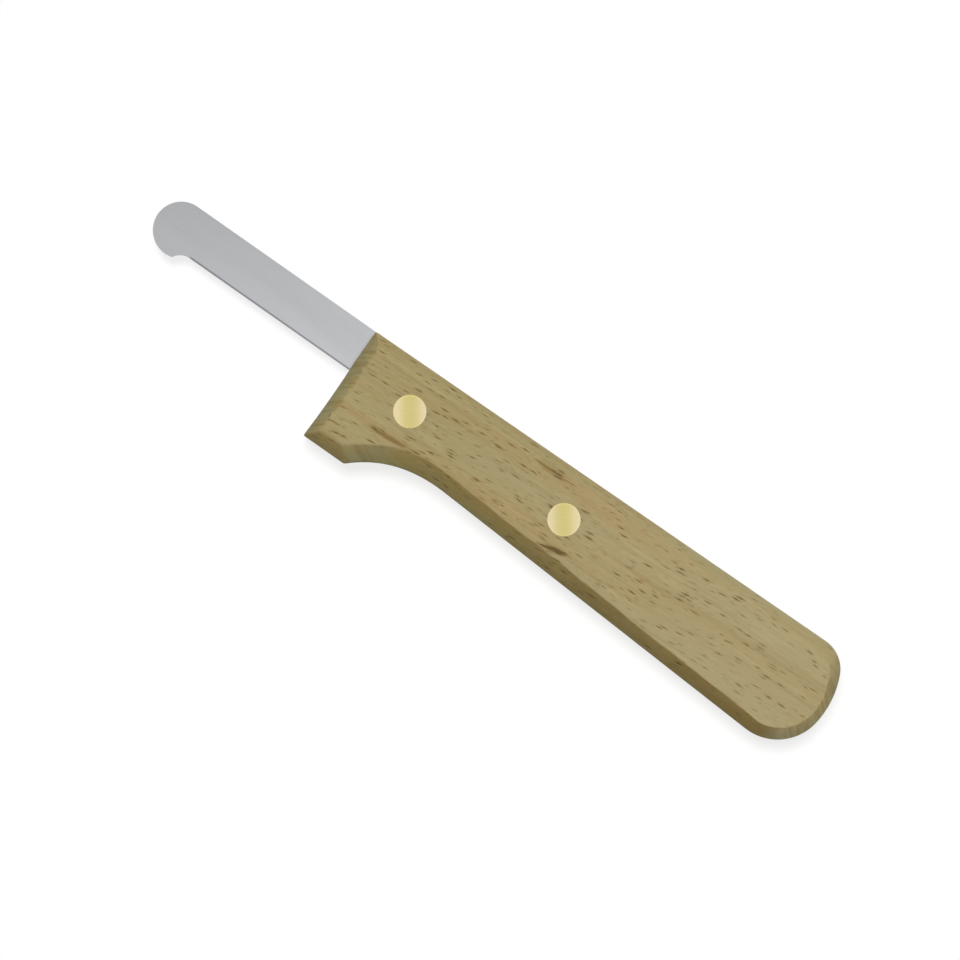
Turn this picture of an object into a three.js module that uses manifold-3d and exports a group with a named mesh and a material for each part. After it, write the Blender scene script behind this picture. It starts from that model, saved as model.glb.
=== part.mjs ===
// A paring knife: a short stamped blade with a round button tip, whose half tang sits in a saw slot
// in a one-piece beech handle and is held there by two flush brass cutlery rivets.
//
// Millimetres. +X runs from the tip to the butt, +Y from the cutting edge to the back and +Z up, with
// the knife lying on its side. Shapes are drawn from the corner where the back of the blade meets the
// front face of the handle, and the finished knife stands over the middle of its own box.
import * as THREE from "three";
import { mergeVertices } from "three/addons/utils/BufferGeometryUtils.js";
import Module from "manifold-3d";

// Blade
const BLADE_LENGTH = 50; // front face of the handle to the tip
const BLADE_HEIGHT = 9.5; // back to cutting edge
const SHEET_THICKNESS = 1.2; // sheet that the blade and its tang are stamped from
const BUTTON_DROP = 2.1; // how far the round tip hangs below the cutting edge
const NOTCH_RADIUS = 3.5; // hollow between the button and the cutting edge
const NOTCH_TURN = 15.5; // degrees round the button from its lowest point to the hollow
const BACK_LAND = 0.6; // strip along the back that keeps the sheet's thickness
const TIP_THICKNESS = 0.4; // left by the flat grind at the button's lowest point
const BEVEL_HEIGHT = 0.4; // honed bevel along the cutting edge
const EDGE_WIDTH = 0.06; // blunt width of the honed edge

// Handle
const HANDLE_LENGTH = 118.4; // front face to the end of the butt
const HANDLE_THICKNESS = 15; // side to side
const BACK_RISE = 1.1; // how far the handle's back climbs from the front to the butt
const GUARD_HEIGHT = 25.6; // back of the blade down to the guard's foot
const GUARD_LENGTH = 10; // length of the guard's foot
const SCOOP_ANGLE = 44; // degrees at which the finger scoop leaves the guard's foot
const SCOOP_END = 30; // front face to the end of the scoop
const NECK_HEIGHT = 18.7; // back of the blade down to the belly at the end of the scoop
const BELLY_HEIGHT = 23.4; // the same at the butt end, where the straight belly would reach it
const BUTT_CROWN = 4.3; // how far the butt's arc bulges past its ends on the back and the belly
const BUTT_BACK_ROUND = 6.9; // corner between the butt and the back
const BUTT_BELLY_ROUND = 10.6; // corner between the butt and the belly

// Chamfers, ground by hand to a width of their own along each side of the handle
const CHAMFER_DEPTH = 2.5; // down from the flat sides
const FRONT_CHAMFER = 2.3;
const GUARD_CHAMFER = 2.9;
const SCOOP_CHAMFER = 3.6;
const NECK_CHAMFER = 3.4;
const BELLY_CHAMFER = 2.7;
const BUTT_CHAMFER = 1.9;
const BACK_CHAMFER = 2.2;

// Tang and slot
const TANG_LAND = 3; // steel left round the rear rivet hole
const SAW_RADIUS = 22; // saw that cuts the slot, and so the round of its rear end
const SHOULDER_SETBACK = 0.3; // tang shoulder, inside the front face

// Rivets
const FIRST_RIVET = 14.9; // front face to the front rivet
const RIVET_SPACING = 38; // front rivet to rear rivet
const RIVET_DEPTH = 9.3; // back of the blade down to both rivets
const HEAD_DIAMETER = 6.7;
const HEAD_THICKNESS = 1.6;
const TUBE_DIAMETER = 4.4; // outside of the tube half
const TUBE_BORE = 3.2; // inside of the tube half
const PIN_END_GAP = 1; // end of the pin to the bottom of the tube's bore

const FIT = 0.05; // gap beside the tang, the rivets and the pins, and from the grind to the handle
const OVERCUT = 2; // how far a cut runs past the material

// Number of straight steps that draw each kind of curve
const RIVET_SIDES = 32;
const SCOOP_STEPS = 12;
const ROUND_STEPS = 8;
const BUTT_STEPS = 10;
const BLADE_STEPS = 20;

const wasm = await Module();
wasm.setup();

const steel = new THREE.MeshStandardMaterial({ color: 0xb6b8bd, roughness: 0.35, metalness: 1 });
const beech = new THREE.MeshStandardMaterial({ color: 0xaa986c, roughness: 0.7, metalness: 0 });
const brass = new THREE.MeshStandardMaterial({ color: 0xc2ab68, roughness: 0.3, metalness: 1 });

const at = (x, y) => new THREE.Vector2(x, y);
const rivetPlaces = [FIRST_RIVET, FIRST_RIVET + RIVET_SPACING].map((x) => at(x, -RIVET_DEPTH));
const holeRadius = TUBE_DIAMETER / 2 + FIT;
const tangDepth = RIVET_DEPTH + holeRadius + TANG_LAND;

// The saw's centre stops over the rear rivet, with its rim just under the tang.
const saw = at(rivetPlaces[1].x, SAW_RADIUS - tangDepth - FIT);

// A three.js geometry as a solid that can be joined and cut.
function toSolid(geometry) {
  const bare = new THREE.BufferGeometry();
  bare.setAttribute("position", geometry.getAttribute("position"));
  bare.setIndex(geometry.index);
  const merged = mergeVertices(bare);
  const vertProperties = merged.getAttribute("position").array;
  const triVerts = new Uint32Array(merged.index.array);
  return new wasm.Manifold(new wasm.Mesh({ numProp: 3, vertProperties, triVerts }));
}

// A solid as a flat-shaded three.js geometry.
function toGeometry(solid) {
  const { vertProperties, triVerts } = solid.getMesh();
  const shared = new THREE.BufferGeometry();
  shared.setAttribute("position", new THREE.BufferAttribute(vertProperties, 3));
  shared.setIndex(new THREE.BufferAttribute(triVerts, 1));
  const geometry = shared.toNonIndexed();
  geometry.computeVertexNormals();
  return geometry;
}

// A plate with the given outline, from one height to another.
function plate(shape, low, high, curveSegments) {
  const depth = high - low;
  const geometry = new THREE.ExtrudeGeometry(shape, { depth, bevelEnabled: false, curveSegments });
  return toSolid(geometry.translate(0, 0, low));
}

// A prism along X with its section drawn in Y and Z.
function prismAlongX(section, from, to) {
  const shape = new THREE.Shape(section);
  const geometry = new THREE.ExtrudeGeometry(shape, { depth: to - from, bevelEnabled: false });
  const turn = new THREE.Matrix4().makeBasis(
    new THREE.Vector3(0, 1, 0),
    new THREE.Vector3(0, 0, 1),
    new THREE.Vector3(1, 0, 0),
  );
  return toSolid(geometry.applyMatrix4(turn).translate(from, 0, 0));
}

// Both rivet holes drilled in a solid, from one height to another.
function drill(solid, radius, low, high) {
  const drillOne = (left, place) => {
    const bit = new THREE.CylinderGeometry(radius, radius, high - low, RIVET_SIDES);
    bit.rotateX(Math.PI / 2).translate(place.x, place.y, (low + high) / 2);
    return left.subtract(toSolid(bit));
  };
  return rivetPlaces.reduce(drillOne, solid);
}

// A straight side of an outline that runs counterclockwise, moved inwards by an inset.
class Side {
  constructor(start, end, inset) {
    this.along = end.clone().sub(start).normalize();
    this.inward = at(-this.along.y, this.along.x);
    this.start = start.clone().addScaledVector(this.inward, inset);
  }

  // The point where this side meets another.
  meet(other) {
    const gap = other.start.clone().sub(this.start);
    const distance = gap.cross(other.along) / this.along.cross(other.along);
    return this.start.clone().addScaledVector(this.along, distance);
  }
}

// The corner round inside the butt's circle that touches a straight side, ahead of the butt's centre
// on the side's run or behind it: its circle, and the angles at which it leaves the side and the butt.
function buttCorner(side, butt, radius, ahead) {
  const base = side.start.clone().addScaledVector(side.inward, radius);
  const gap = butt.centre.clone().sub(base);
  const half = Math.sqrt((butt.radius - radius) ** 2 - gap.dot(side.inward) ** 2);
  const centre = base.addScaledVector(side.along, gap.dot(side.along) + (ahead ? half : -half));
  const sideAngle = side.inward.clone().negate().angle();
  const buttAngle = centre.clone().sub(butt.centre).angle();
  return { centre, radius, sideAngle, buttAngle };
}

// The circle of the butt's arc, through the back and the belly where the arc would end.
function buttCircle() {
  const chord = HANDLE_LENGTH - BUTT_CROWN;
  const top = THREE.MathUtils.mapLinear(chord, 0, HANDLE_LENGTH, 0, BACK_RISE);
  const foot = THREE.MathUtils.mapLinear(chord, SCOOP_END, HANDLE_LENGTH, -NECK_HEIGHT, -BELLY_HEIGHT);
  const half = (top - foot) / 2;
  const radius = (half ** 2 + BUTT_CROWN ** 2) / (2 * BUTT_CROWN);
  return { centre: at(HANDLE_LENGTH - radius, (top + foot) / 2), radius };
}

// Points along a counterclockwise arc.
function arcPoints(centre, radius, start, end, steps) {
  return new THREE.ArcCurve(centre.x, centre.y, radius, start, end, false).getPoints(steps);
}

// The handle seen from its side: its full outline, or the outline of its flat inside the chamfers.
function handleOutline(flat) {
  const inset = (chamfer) => (flat ? chamfer : 0);
  const corner = at(0, 0);
  const guardFront = at(0, -GUARD_HEIGHT);
  const guardRear = at(GUARD_LENGTH, -GUARD_HEIGHT);
  const scoopEnd = at(SCOOP_END, -NECK_HEIGHT);
  const scoopTurn = THREE.MathUtils.degToRad(SCOOP_ANGLE);
  const scoopAim = guardRear.clone().add(at(Math.cos(scoopTurn), Math.sin(scoopTurn)));

  const front = new Side(corner, guardFront, inset(FRONT_CHAMFER));
  const guard = new Side(guardFront, guardRear, inset(GUARD_CHAMFER));
  const scoop = new Side(guardRear, scoopAim, inset(SCOOP_CHAMFER));
  const neck = new Side(scoopEnd, at(HANDLE_LENGTH, -BELLY_HEIGHT), inset(NECK_CHAMFER));
  const tail = new Side(scoopEnd, at(HANDLE_LENGTH, -BELLY_HEIGHT), inset(BELLY_CHAMFER));
  const back = new Side(at(HANDLE_LENGTH, BACK_RISE), corner, inset(BACK_CHAMFER));

  const butt = buttCircle();
  butt.radius -= inset(BUTT_CHAMFER);
  const low = buttCorner(tail, butt, BUTT_BELLY_ROUND - inset(BUTT_CHAMFER), true);
  const high = buttCorner(back, butt, BUTT_BACK_ROUND - inset(BUTT_CHAMFER), false);
  const fullTurn = 2 * Math.PI;
  const buttEnd = high.buttAngle + fullTurn;

  const scoopStart = guard.meet(scoop);
  const scoopCurve = new THREE.QuadraticBezierCurve(scoopStart, scoop.meet(neck), neck.start);
  return [
    back.meet(front),
    front.meet(guard),
    ...scoopCurve.getPoints(SCOOP_STEPS),
    ...arcPoints(low.centre, low.radius, low.sideAngle, low.buttAngle, ROUND_STEPS),
    ...arcPoints(butt.centre, butt.radius, low.buttAngle, buttEnd, BUTT_STEPS).slice(1),
    ...arcPoints(high.centre, high.radius, high.buttAngle, high.sideAngle, ROUND_STEPS).slice(1),
  ];
}

// A closed body through a stack of outlines that all have the same number of points.
function loft(rings) {
  const count = rings[0].outline.length;
  const positions = rings.flatMap(({ outline, z }) => outline.flatMap((point) => [point.x, point.y, z]));
  const triangles = [];
  for (let ring = 0; ring + 1 < rings.length; ring += 1) {
    for (let i = 0; i < count; i += 1) {
      const next = (i + 1) % count;
      const [a, b] = [ring * count + i, ring * count + next];
      triangles.push(a, b, b + count, a, b + count, a + count);
    }
  }
  const last = rings.length - 1;
  for (const [a, b, c] of THREE.ShapeUtils.triangulateShape(rings[0].outline, [])) {
    triangles.push(a, c, b);
  }
  for (const [a, b, c] of THREE.ShapeUtils.triangulateShape(rings[last].outline, [])) {
    triangles.push(last * count + a, last * count + b, last * count + c);
  }
  const geometry = new THREE.BufferGeometry();
  geometry.setAttribute("position", new THREE.Float32BufferAttribute(positions, 3));
  geometry.setIndex(triangles);
  return toSolid(geometry);
}

// The slot as the saw leaves it, open at the front face and along the back.
function slotShape() {
  const top = BACK_RISE + OVERCUT;
  const shape = new THREE.Shape();
  shape.moveTo(-OVERCUT, top);
  shape.lineTo(-OVERCUT, saw.y - SAW_RADIUS);
  shape.lineTo(saw.x, saw.y - SAW_RADIUS);
  shape.absarc(saw.x, saw.y, SAW_RADIUS, -Math.PI / 2, Math.asin((top - saw.y) / SAW_RADIUS), false);
  return shape;
}

// The handle: a blank with chamfered sides, slotted for the tang, drilled and counterbored.
function makeHandle() {
  const flat = handleOutline(true);
  const full = handleOutline(false);
  const blank = loft([
    { outline: flat, z: 0 },
    { outline: full, z: CHAMFER_DEPTH },
    { outline: full, z: HANDLE_THICKNESS - CHAMFER_DEPTH },
    { outline: flat, z: HANDLE_THICKNESS },
  ]);
  const middle = HANDLE_THICKNESS / 2;
  const halfSlot = SHEET_THICKNESS / 2 + FIT;
  const slotted = blank.subtract(plate(slotShape(), middle - halfSlot, middle + halfSlot, BLADE_STEPS));
  const drilled = drill(slotted, holeRadius, -OVERCUT, HANDLE_THICKNESS + OVERCUT);
  const seatRadius = HEAD_DIAMETER / 2 + FIT;
  const seatDepth = HEAD_THICKNESS + FIT;
  const lower = drill(drilled, seatRadius, -OVERCUT, seatDepth);
  const both = drill(lower, seatRadius, HANDLE_THICKNESS - seatDepth, HANDLE_THICKNESS + OVERCUT);
  return new THREE.Mesh(toGeometry(both), beech);
}

// The hollow between the button and the edge: the button's circle, and the hollow's centre and start.
function buttonTip() {
  const radius = (BLADE_HEIGHT + BUTTON_DROP) / 2;
  const centre = at(radius - BLADE_LENGTH, -radius);
  const cuspAngle = THREE.MathUtils.degToRad(270 + NOTCH_TURN);
  const cusp = at(Math.cos(cuspAngle), Math.sin(cuspAngle)).multiplyScalar(radius).add(centre);
  const notchY = -BLADE_HEIGHT - NOTCH_RADIUS;
  const notch = at(cusp.x + Math.sqrt(NOTCH_RADIUS ** 2 - (cusp.y - notchY) ** 2), notchY);
  const notchAngle = cusp.clone().sub(notch).angle();
  return { radius, centre, cuspAngle, notch, notchAngle };
}

// The stamped outline of blade and tang; the top of the tang lies flush with the handle's back.
function bladeShape(tip) {
  const rim = SAW_RADIUS - FIT;
  const backSlope = at(HANDLE_LENGTH, BACK_RISE).normalize();
  const along = saw.dot(backSlope);
  const offBack = backSlope.cross(saw);
  const tangEnd = backSlope.clone().multiplyScalar(along + Math.sqrt(rim ** 2 - offBack ** 2));
  const shape = new THREE.Shape();
  shape.moveTo(0, 0);
  shape.lineTo(tip.centre.x, 0);
  shape.absarc(tip.centre.x, tip.centre.y, tip.radius, Math.PI / 2, tip.cuspAngle, false);
  shape.absarc(tip.notch.x, tip.notch.y, NOTCH_RADIUS, tip.notchAngle, Math.PI / 2, true);
  shape.lineTo(SHOULDER_SETBACK, -BLADE_HEIGHT);
  shape.lineTo(SHOULDER_SETBACK, -tangDepth);
  shape.absarc(saw.x, saw.y, rim, -Math.PI / 2, Math.atan2(tangEnd.y - saw.y, tangEnd.x - saw.x), false);
  return shape;
}

// Half of the blade's thickness at a depth below its back, as the flat grind leaves it.
function halfThickness(depth) {
  const share = (depth - BACK_LAND) / (BLADE_HEIGHT + BUTTON_DROP - BACK_LAND);
  return THREE.MathUtils.lerp(SHEET_THICKNESS, TIP_THICKNESS, share) / 2;
}

// What the flat grind takes off one face of the blade.
function grindSection(face) {
  const foot = BLADE_HEIGHT + BUTTON_DROP + OVERCUT;
  const clear = SHEET_THICKNESS;
  return [
    at(-BACK_LAND, face * halfThickness(BACK_LAND)),
    at(-foot, face * halfThickness(foot)),
    at(-foot, face * clear),
    at(-BACK_LAND, face * clear),
  ];
}

// What honing takes off one face of the cutting edge.
function bevelSection(face) {
  const top = BLADE_HEIGHT - BEVEL_HEIGHT;
  const foot = BLADE_HEIGHT + OVERCUT;
  const clear = SHEET_THICKNESS;
  return [
    at(-top, face * halfThickness(top)),
    at(-BLADE_HEIGHT, (face * EDGE_WIDTH) / 2),
    at(-foot, (face * EDGE_WIDTH) / 2),
    at(-foot, face * clear),
    at(-top, face * clear),
  ];
}

// The blade with its tang, about its own middle plane; the grind and the bevel stop at the handle.
function makeBlade() {
  const tip = buttonTip();
  const grindEnd = -FIT;
  let solid = plate(bladeShape(tip), -SHEET_THICKNESS / 2, SHEET_THICKNESS / 2, BLADE_STEPS);
  for (const face of [1, -1]) {
    const grind = prismAlongX(grindSection(face), -BLADE_LENGTH - OVERCUT, grindEnd);
    const bevel = prismAlongX(bevelSection(face), tip.notch.x, grindEnd);
    solid = solid.subtract(grind).subtract(bevel);
  }
  solid = drill(solid, holeRadius, -SHEET_THICKNESS, SHEET_THICKNESS);
  const mesh = new THREE.Mesh(toGeometry(solid), steel);
  mesh.position.z = HANDLE_THICKNESS / 2;
  return mesh;
}

// A turned half of a rivet: a flush head and whatever stands on its inner face.
function turned(stem) {
  const head = [at(0, 0), at(HEAD_DIAMETER / 2, 0), at(HEAD_DIAMETER / 2, HEAD_THICKNESS)];
  const geometry = new THREE.LatheGeometry([...head, ...stem], RIVET_SIDES);
  return new THREE.Mesh(geometry, brass);
}

// The half with the tube, whose head lies in the lower side and whose rim stops at the other head.
function makeTube() {
  const rim = HANDLE_THICKNESS - HEAD_THICKNESS - FIT;
  const tube = turned([
    at(TUBE_DIAMETER / 2, HEAD_THICKNESS),
    at(TUBE_DIAMETER / 2, rim),
    at(TUBE_BORE / 2, rim),
    at(TUBE_BORE / 2, HEAD_THICKNESS),
    at(0, HEAD_THICKNESS),
  ]);
  tube.rotation.x = Math.PI / 2;
  return tube;
}

// The half with the pin, pressed into the tube from the upper side.
function makePin() {
  const radius = TUBE_BORE / 2 - FIT;
  const end = HANDLE_THICKNESS - HEAD_THICKNESS - PIN_END_GAP;
  const pin = turned([at(radius, HEAD_THICKNESS), at(radius, end), at(0, end)]);
  pin.rotation.x = -Math.PI / 2;
  pin.position.z = HANDLE_THICKNESS;
  return pin;
}

// A rivet of two halves, standing at one of the holes.
function makeRivet(name, place) {
  const rivet = new THREE.Group();
  const tube = makeTube();
  const pin = makePin();
  tube.name = `${name}_tube`;
  pin.name = `${name}_pin`;
  rivet.add(tube, pin);
  rivet.position.set(place.x, place.y, 0);
  return rivet;
}

const handle = makeHandle();
handle.name = "handle";
const blade = makeBlade();
blade.name = "blade";

const assembly = new THREE.Group();
assembly.add(handle, blade);
assembly.add(makeRivet("front_rivet", rivetPlaces[0]), makeRivet("rear_rivet", rivetPlaces[1]));

const box = new THREE.Box3().setFromObject(assembly);
const middle = box.getCenter(new THREE.Vector3());
assembly.position.set(-middle.x, -middle.y, -box.min.z);

const knife = new THREE.Group();
knife.add(assembly);
export default knife;
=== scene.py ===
"""Dresses a paring knife: beech handle, satin blade with a button tip, flush brass rivets.

Lengths are in metres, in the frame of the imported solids: +X from the tip to the butt, +Y from the
cutting edge to the back, +Z up. The handle's outline and the marks in its wood are placed from its
corner, where the back of the blade meets the front face of the handle.
"""

import logging
import math
from dataclasses import dataclass, field
from enum import Enum
from typing import Sequence

import bmesh
import bpy
import numpy as np
from numpy.typing import NDArray
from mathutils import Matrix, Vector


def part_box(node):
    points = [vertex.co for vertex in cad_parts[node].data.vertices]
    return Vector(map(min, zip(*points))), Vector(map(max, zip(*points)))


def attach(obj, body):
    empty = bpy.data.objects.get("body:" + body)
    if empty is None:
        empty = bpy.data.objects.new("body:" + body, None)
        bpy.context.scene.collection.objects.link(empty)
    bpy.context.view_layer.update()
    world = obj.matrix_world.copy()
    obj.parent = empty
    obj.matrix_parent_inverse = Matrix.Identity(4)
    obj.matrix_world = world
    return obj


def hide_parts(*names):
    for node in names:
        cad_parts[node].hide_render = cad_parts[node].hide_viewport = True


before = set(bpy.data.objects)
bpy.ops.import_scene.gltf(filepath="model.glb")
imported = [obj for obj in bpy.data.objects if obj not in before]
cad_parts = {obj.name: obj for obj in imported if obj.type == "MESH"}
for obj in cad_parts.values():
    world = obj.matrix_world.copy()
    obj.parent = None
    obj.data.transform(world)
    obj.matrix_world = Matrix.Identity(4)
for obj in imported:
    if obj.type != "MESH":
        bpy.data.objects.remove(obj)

Array = NDArray[np.float64]
Socket = bpy.types.NodeSocket
Sockets = bpy.types.bpy_prop_collection
Triple = tuple[float, float, float]
Colour = tuple[float, float, float]
Span = tuple[float, float]

MM = 0.001
FIT = 0.05 * MM
OVERCUT = 2.0 * MM
MERGE_DISTANCE = 1e-7
FLAT_DISTANCE = 1e-8
ORIGIN = (0.0, 0.0, 0.0)
IN_MM = (MM, MM, MM)
HALF = (0.5, 0.5, 0.5)
WHITE = (1.0, 1.0, 1.0)
NONE_TO_ALL = (0.0, 1.0)
GRIND_MAP = "grind"
BODY = "root"
log = logging.getLogger("paring_knife")


# Curves and meshes


def line(start: Sequence[float], end: Sequence[float], count: int) -> Array:
    """Samples a straight stretch, start and end included.

    Args:
        start: First point.
        end: Last point.
        count: Number of points.

    Returns:
        Points of shape (count, 2): start + t (end - start) for t from 0 to 1.
    """
    t = np.linspace(0.0, 1.0, count)[:, None]
    return np.asarray(start) * (1.0 - t) + np.asarray(end) * t


def arc(centre: Sequence[float], radius: float, start: float, end: float, count: int) -> Array:
    """Samples a circular arc, both ends included.

    Args:
        centre: Centre of the circle.
        radius: Radius of the circle.
        start: First angle in radians.
        end: Last angle in radians.
        count: Number of points.

    Returns:
        Points of shape (count, 2): centre + radius (cos a, sin a).
    """
    angle = np.linspace(start, end, count)
    return np.asarray(centre) + radius * np.stack([np.cos(angle), np.sin(angle)], axis=1)


def bezier(start: Array, control: Array, end: Array, count: int) -> Array:
    """Samples a quadratic Bezier curve, both ends included.

    Args:
        start: First point.
        control: Point that both end tangents aim at.
        end: Last point.
        count: Number of points.

    Returns:
        Points of shape (count, 2): (1-t)^2 start + 2t(1-t) control + t^2 end.
    """
    t = np.linspace(0.0, 1.0, count)[:, None]
    return (1.0 - t) ** 2 * start + 2.0 * t * (1.0 - t) * control + t**2 * end


def soften(loop: Array, spread: float) -> Array:
    """Rounds the corners of a closed outline with a Gaussian average along it.

    Args:
        loop: Closed outline of shape (n, 2), evenly sampled, last point not repeated.
        spread: Width of the average, in samples.

    Returns:
        The outline after a circular convolution with exp(-k^2 / 2 spread^2).
    """
    reach = int(math.ceil(4.0 * spread))
    steps = np.arange(-reach, reach + 1)
    weight = np.exp(-0.5 * (steps / spread) ** 2)
    weight /= weight.sum()
    rows = (np.arange(len(loop))[:, None] + steps[None, :]) % len(loop)
    return np.einsum("k,nkd->nd", weight, loop[rows])


def half_chord(radius: float, offset: Array) -> Array:
    """Gives a circle's height over its middle line at distances from its centre.

    Args:
        radius: Radius of the circle.
        offset: Distances along the middle line.

    Returns:
        The root of radius^2 - offset^2, or 0 beyond the circle.
    """
    return np.sqrt(np.clip(radius**2 - offset**2, 0.0, None))


def ramp(value: Array, none: float, full: float) -> Array:
    """Rises evenly from 0 at one value to 1 at another, and stays level beyond them.

    Args:
        value: Values to look up.
        none: Value that gives 0.
        full: Value that gives 1.

    Returns:
        (value - none) / (full - none), kept between 0 and 1.
    """
    return np.clip((value - none) / (full - none), 0.0, 1.0)


def ripple(run: Array, waves: Sequence[Triple]) -> Array:
    """Adds up sine waves.

    Args:
        run: Angles in radians.
        waves: Count, strength and phase of each wave.

    Returns:
        The sum of strength sin(count run + phase).
    """
    count, strength, phase = np.array(waves).T[..., None]
    return (strength * np.sin(count * run + phase)).sum(axis=0)


def round_corner(before: Array, at: Array, after: Array, radius: float, count: int) -> Array:
    """Replaces a corner of a path by an arc that touches both of its legs.

    Args:
        before: Point before the corner.
        at: The corner.
        after: Point after it.
        radius: Radius of the arc.
        count: Number of points on the arc.

    Returns:
        Points along the arc, from the first leg to the second.
    """
    first = (before - at) / np.linalg.norm(before - at)
    second = (after - at) / np.linalg.norm(after - at)
    half = math.acos(float(np.clip(first @ second, -1.0, 1.0))) / 2.0
    middle = at + (first + second) / np.linalg.norm(first + second) * radius / math.sin(half)
    leg = radius / math.tan(half)
    start, end = at + first * leg - middle, at + second * leg - middle
    sweep = math.atan2(start[0] * end[1] - start[1] * end[0], float(start @ end))
    angle = math.atan2(start[1], start[0])
    return arc(middle, radius, angle, angle + sweep, count)


def grid_faces(rows: int, columns: int, around: bool) -> list[tuple[int, ...]]:
    """Lists the quads of a grid of points, row by row.

    Args:
        rows: Number of rows of points.
        columns: Number of points in a row.
        around: True where each row closes on itself.

    Returns:
        One tuple of four indices for each quad.
    """
    last = columns if around else columns - 1
    i, j = np.meshgrid(np.arange(rows - 1), np.arange(last), indexing="ij")
    k = (j + 1) % columns
    quads = np.stack([i * columns + j, i * columns + k, (i + 1) * columns + k, (i + 1) * columns + j], -1)
    return list(map(tuple, quads.reshape(-1, 4).tolist()))


def make_piece(name: str, points: Array, faces: Sequence[Sequence[int]]) -> bpy.types.Object:
    """Puts points and faces into a new object at the origin, with doubles merged and faces outward.

    Args:
        name: Name of the object and its mesh.
        points: Points of shape (n, 3).
        faces: Point indices of each face.

    Returns:
        The linked object.
    """
    mesh = bpy.data.meshes.new(name)
    mesh.from_pydata(points.reshape(-1, 3).tolist(), [], faces)
    piece = bpy.data.objects.new(name, mesh)
    bpy.context.scene.collection.objects.link(piece)
    tidy_mesh(mesh)
    return piece


def tidy_mesh(mesh: bpy.types.Mesh) -> None:
    """Merges doubles, drops faces without area and turns the rest outwards.

    Args:
        mesh: Mesh to tidy in place.
    """
    work = bmesh.new()
    work.from_mesh(mesh)
    bmesh.ops.remove_doubles(work, verts=work.verts, dist=MERGE_DISTANCE)
    bmesh.ops.dissolve_degenerate(work, edges=work.edges, dist=FLAT_DISTANCE)
    bmesh.ops.recalc_face_normals(work, faces=work.faces)
    work.to_mesh(mesh)
    work.free()
    mesh.update()


def revolve(name: str, profile: Array, centre: Sequence[float], sides: int) -> bpy.types.Object:
    """Turns a profile about an upright axis.

    The surface is (r cos a, r sin a, z) for each (r, z) of the profile and each angle a; where the
    profile meets the axis its ring closes to one point.

    Args:
        name: Name of the new object.
        profile: Points (r, z), from the axis and back to it.
        centre: Place of the axis in X and Y.
        sides: Number of steps round the axis.

    Returns:
        The closed turned piece.
    """
    angle = np.arange(sides) * 2.0 * np.pi / sides
    r, z = profile[:, :1], np.repeat(profile[:, 1:], sides, axis=1)
    points = np.stack([centre[0] + r * np.cos(angle), centre[1] + r * np.sin(angle), z], axis=-1)
    return make_piece(name, points, grid_faces(len(profile), sides, around=True))


def tube(name: str, rings: Array) -> bpy.types.Object:
    """Joins closed rings point to point, one after another, and closes the first and the last.

    Args:
        name: Name of the new object.
        rings: Points of shape (rings, points of a ring, 3).

    Returns:
        The closed piece.
    """
    rows, columns = rings.shape[:2]
    ends = [tuple(range(columns)), tuple(range((rows - 1) * columns, rows * columns))]
    return make_piece(name, rings, grid_faces(rows, columns, around=True) + ends)


def prism(name: str, outline: Array, low: float, high: float) -> bpy.types.Object:
    """Carries a closed outline straight up from one height to another.

    Args:
        name: Name of the new object.
        outline: Points (x, y) of the outline.
        low: Height of the lower face.
        high: Height of the upper face.

    Returns:
        The closed prism.
    """
    shape = (2, len(outline))
    heights = np.array([low, high])[:, None, None]
    rings = np.broadcast_to(outline, (*shape, 2))
    return tube(name, np.concatenate([rings, np.broadcast_to(heights, (*shape, 1))], axis=-1))


def cut(piece: bpy.types.Object, cutters: Sequence[bpy.types.Object]) -> None:
    """Cuts solids out of a piece one after another and removes them.

    Args:
        piece: Piece that keeps its place and name.
        cutters: Closed solids to take away.
    """
    for cutter in cutters:
        step = piece.modifiers.new("cut", "BOOLEAN")
        step.operation = "DIFFERENCE"
        step.solver = "EXACT"
        step.object = cutter
        graph = bpy.context.evaluated_depsgraph_get()
        made = bpy.data.meshes.new_from_object(piece.evaluated_get(graph))
        piece.modifiers.remove(step)
        old, piece.data = piece.data, made
        made.name = piece.name
        bpy.data.meshes.remove(old)
        spare = cutter.data
        bpy.data.objects.remove(cutter)
        bpy.data.meshes.remove(spare)


def shade(piece: bpy.types.Object, crease_degrees: float) -> None:
    """Shades a piece smooth, apart from edges sharper than a crease angle.

    Args:
        piece: Piece to shade.
        crease_degrees: Angle between faces above which an edge stays sharp.
    """
    piece.data.shade_smooth()
    piece.data.set_sharp_from_angle(angle=math.radians(crease_degrees))


def planar_uv(piece: bpy.types.Object, centre: Array, along: Sequence[float], scale: float) -> None:
    """Lays a flat UV map over a piece from above, with its origin at a place and U along a direction.

    Args:
        piece: Piece that gets the map.
        centre: Place of the map's origin in X and Y.
        along: Direction of U in X and Y.
        scale: Length that one unit of the map stands for.
    """
    mesh = piece.data
    places = np.empty(len(mesh.vertices) * 3)
    mesh.vertices.foreach_get("co", places)
    corners = np.empty(len(mesh.loops), dtype=np.int64)
    mesh.loops.foreach_get("vertex_index", corners)
    flat = (places.reshape(-1, 3)[corners, :2] - centre) / scale
    u = np.asarray(along) / np.linalg.norm(along)
    v = np.array([-u[1], u[0]])
    layer = mesh.uv_layers.new(name=GRIND_MAP)
    layer.data.foreach_set("uv", np.stack([flat @ u, flat @ v], axis=1).ravel())


def hand_over(piece: bpy.types.Object, slot: str, *nodes: str) -> None:
    """Hangs a finished piece on the body that it rides on and hides the solids that it stands for.

    Args:
        piece: Finished piece.
        slot: Material slot of the record; not used.
        nodes: Solids that the piece stands for.
    """
    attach(piece, BODY)
    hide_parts(*nodes)
    log.info("%s: %d points, %d faces", piece.name, len(piece.data.vertices), len(piece.data.polygons))


# Shader nodes


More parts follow.
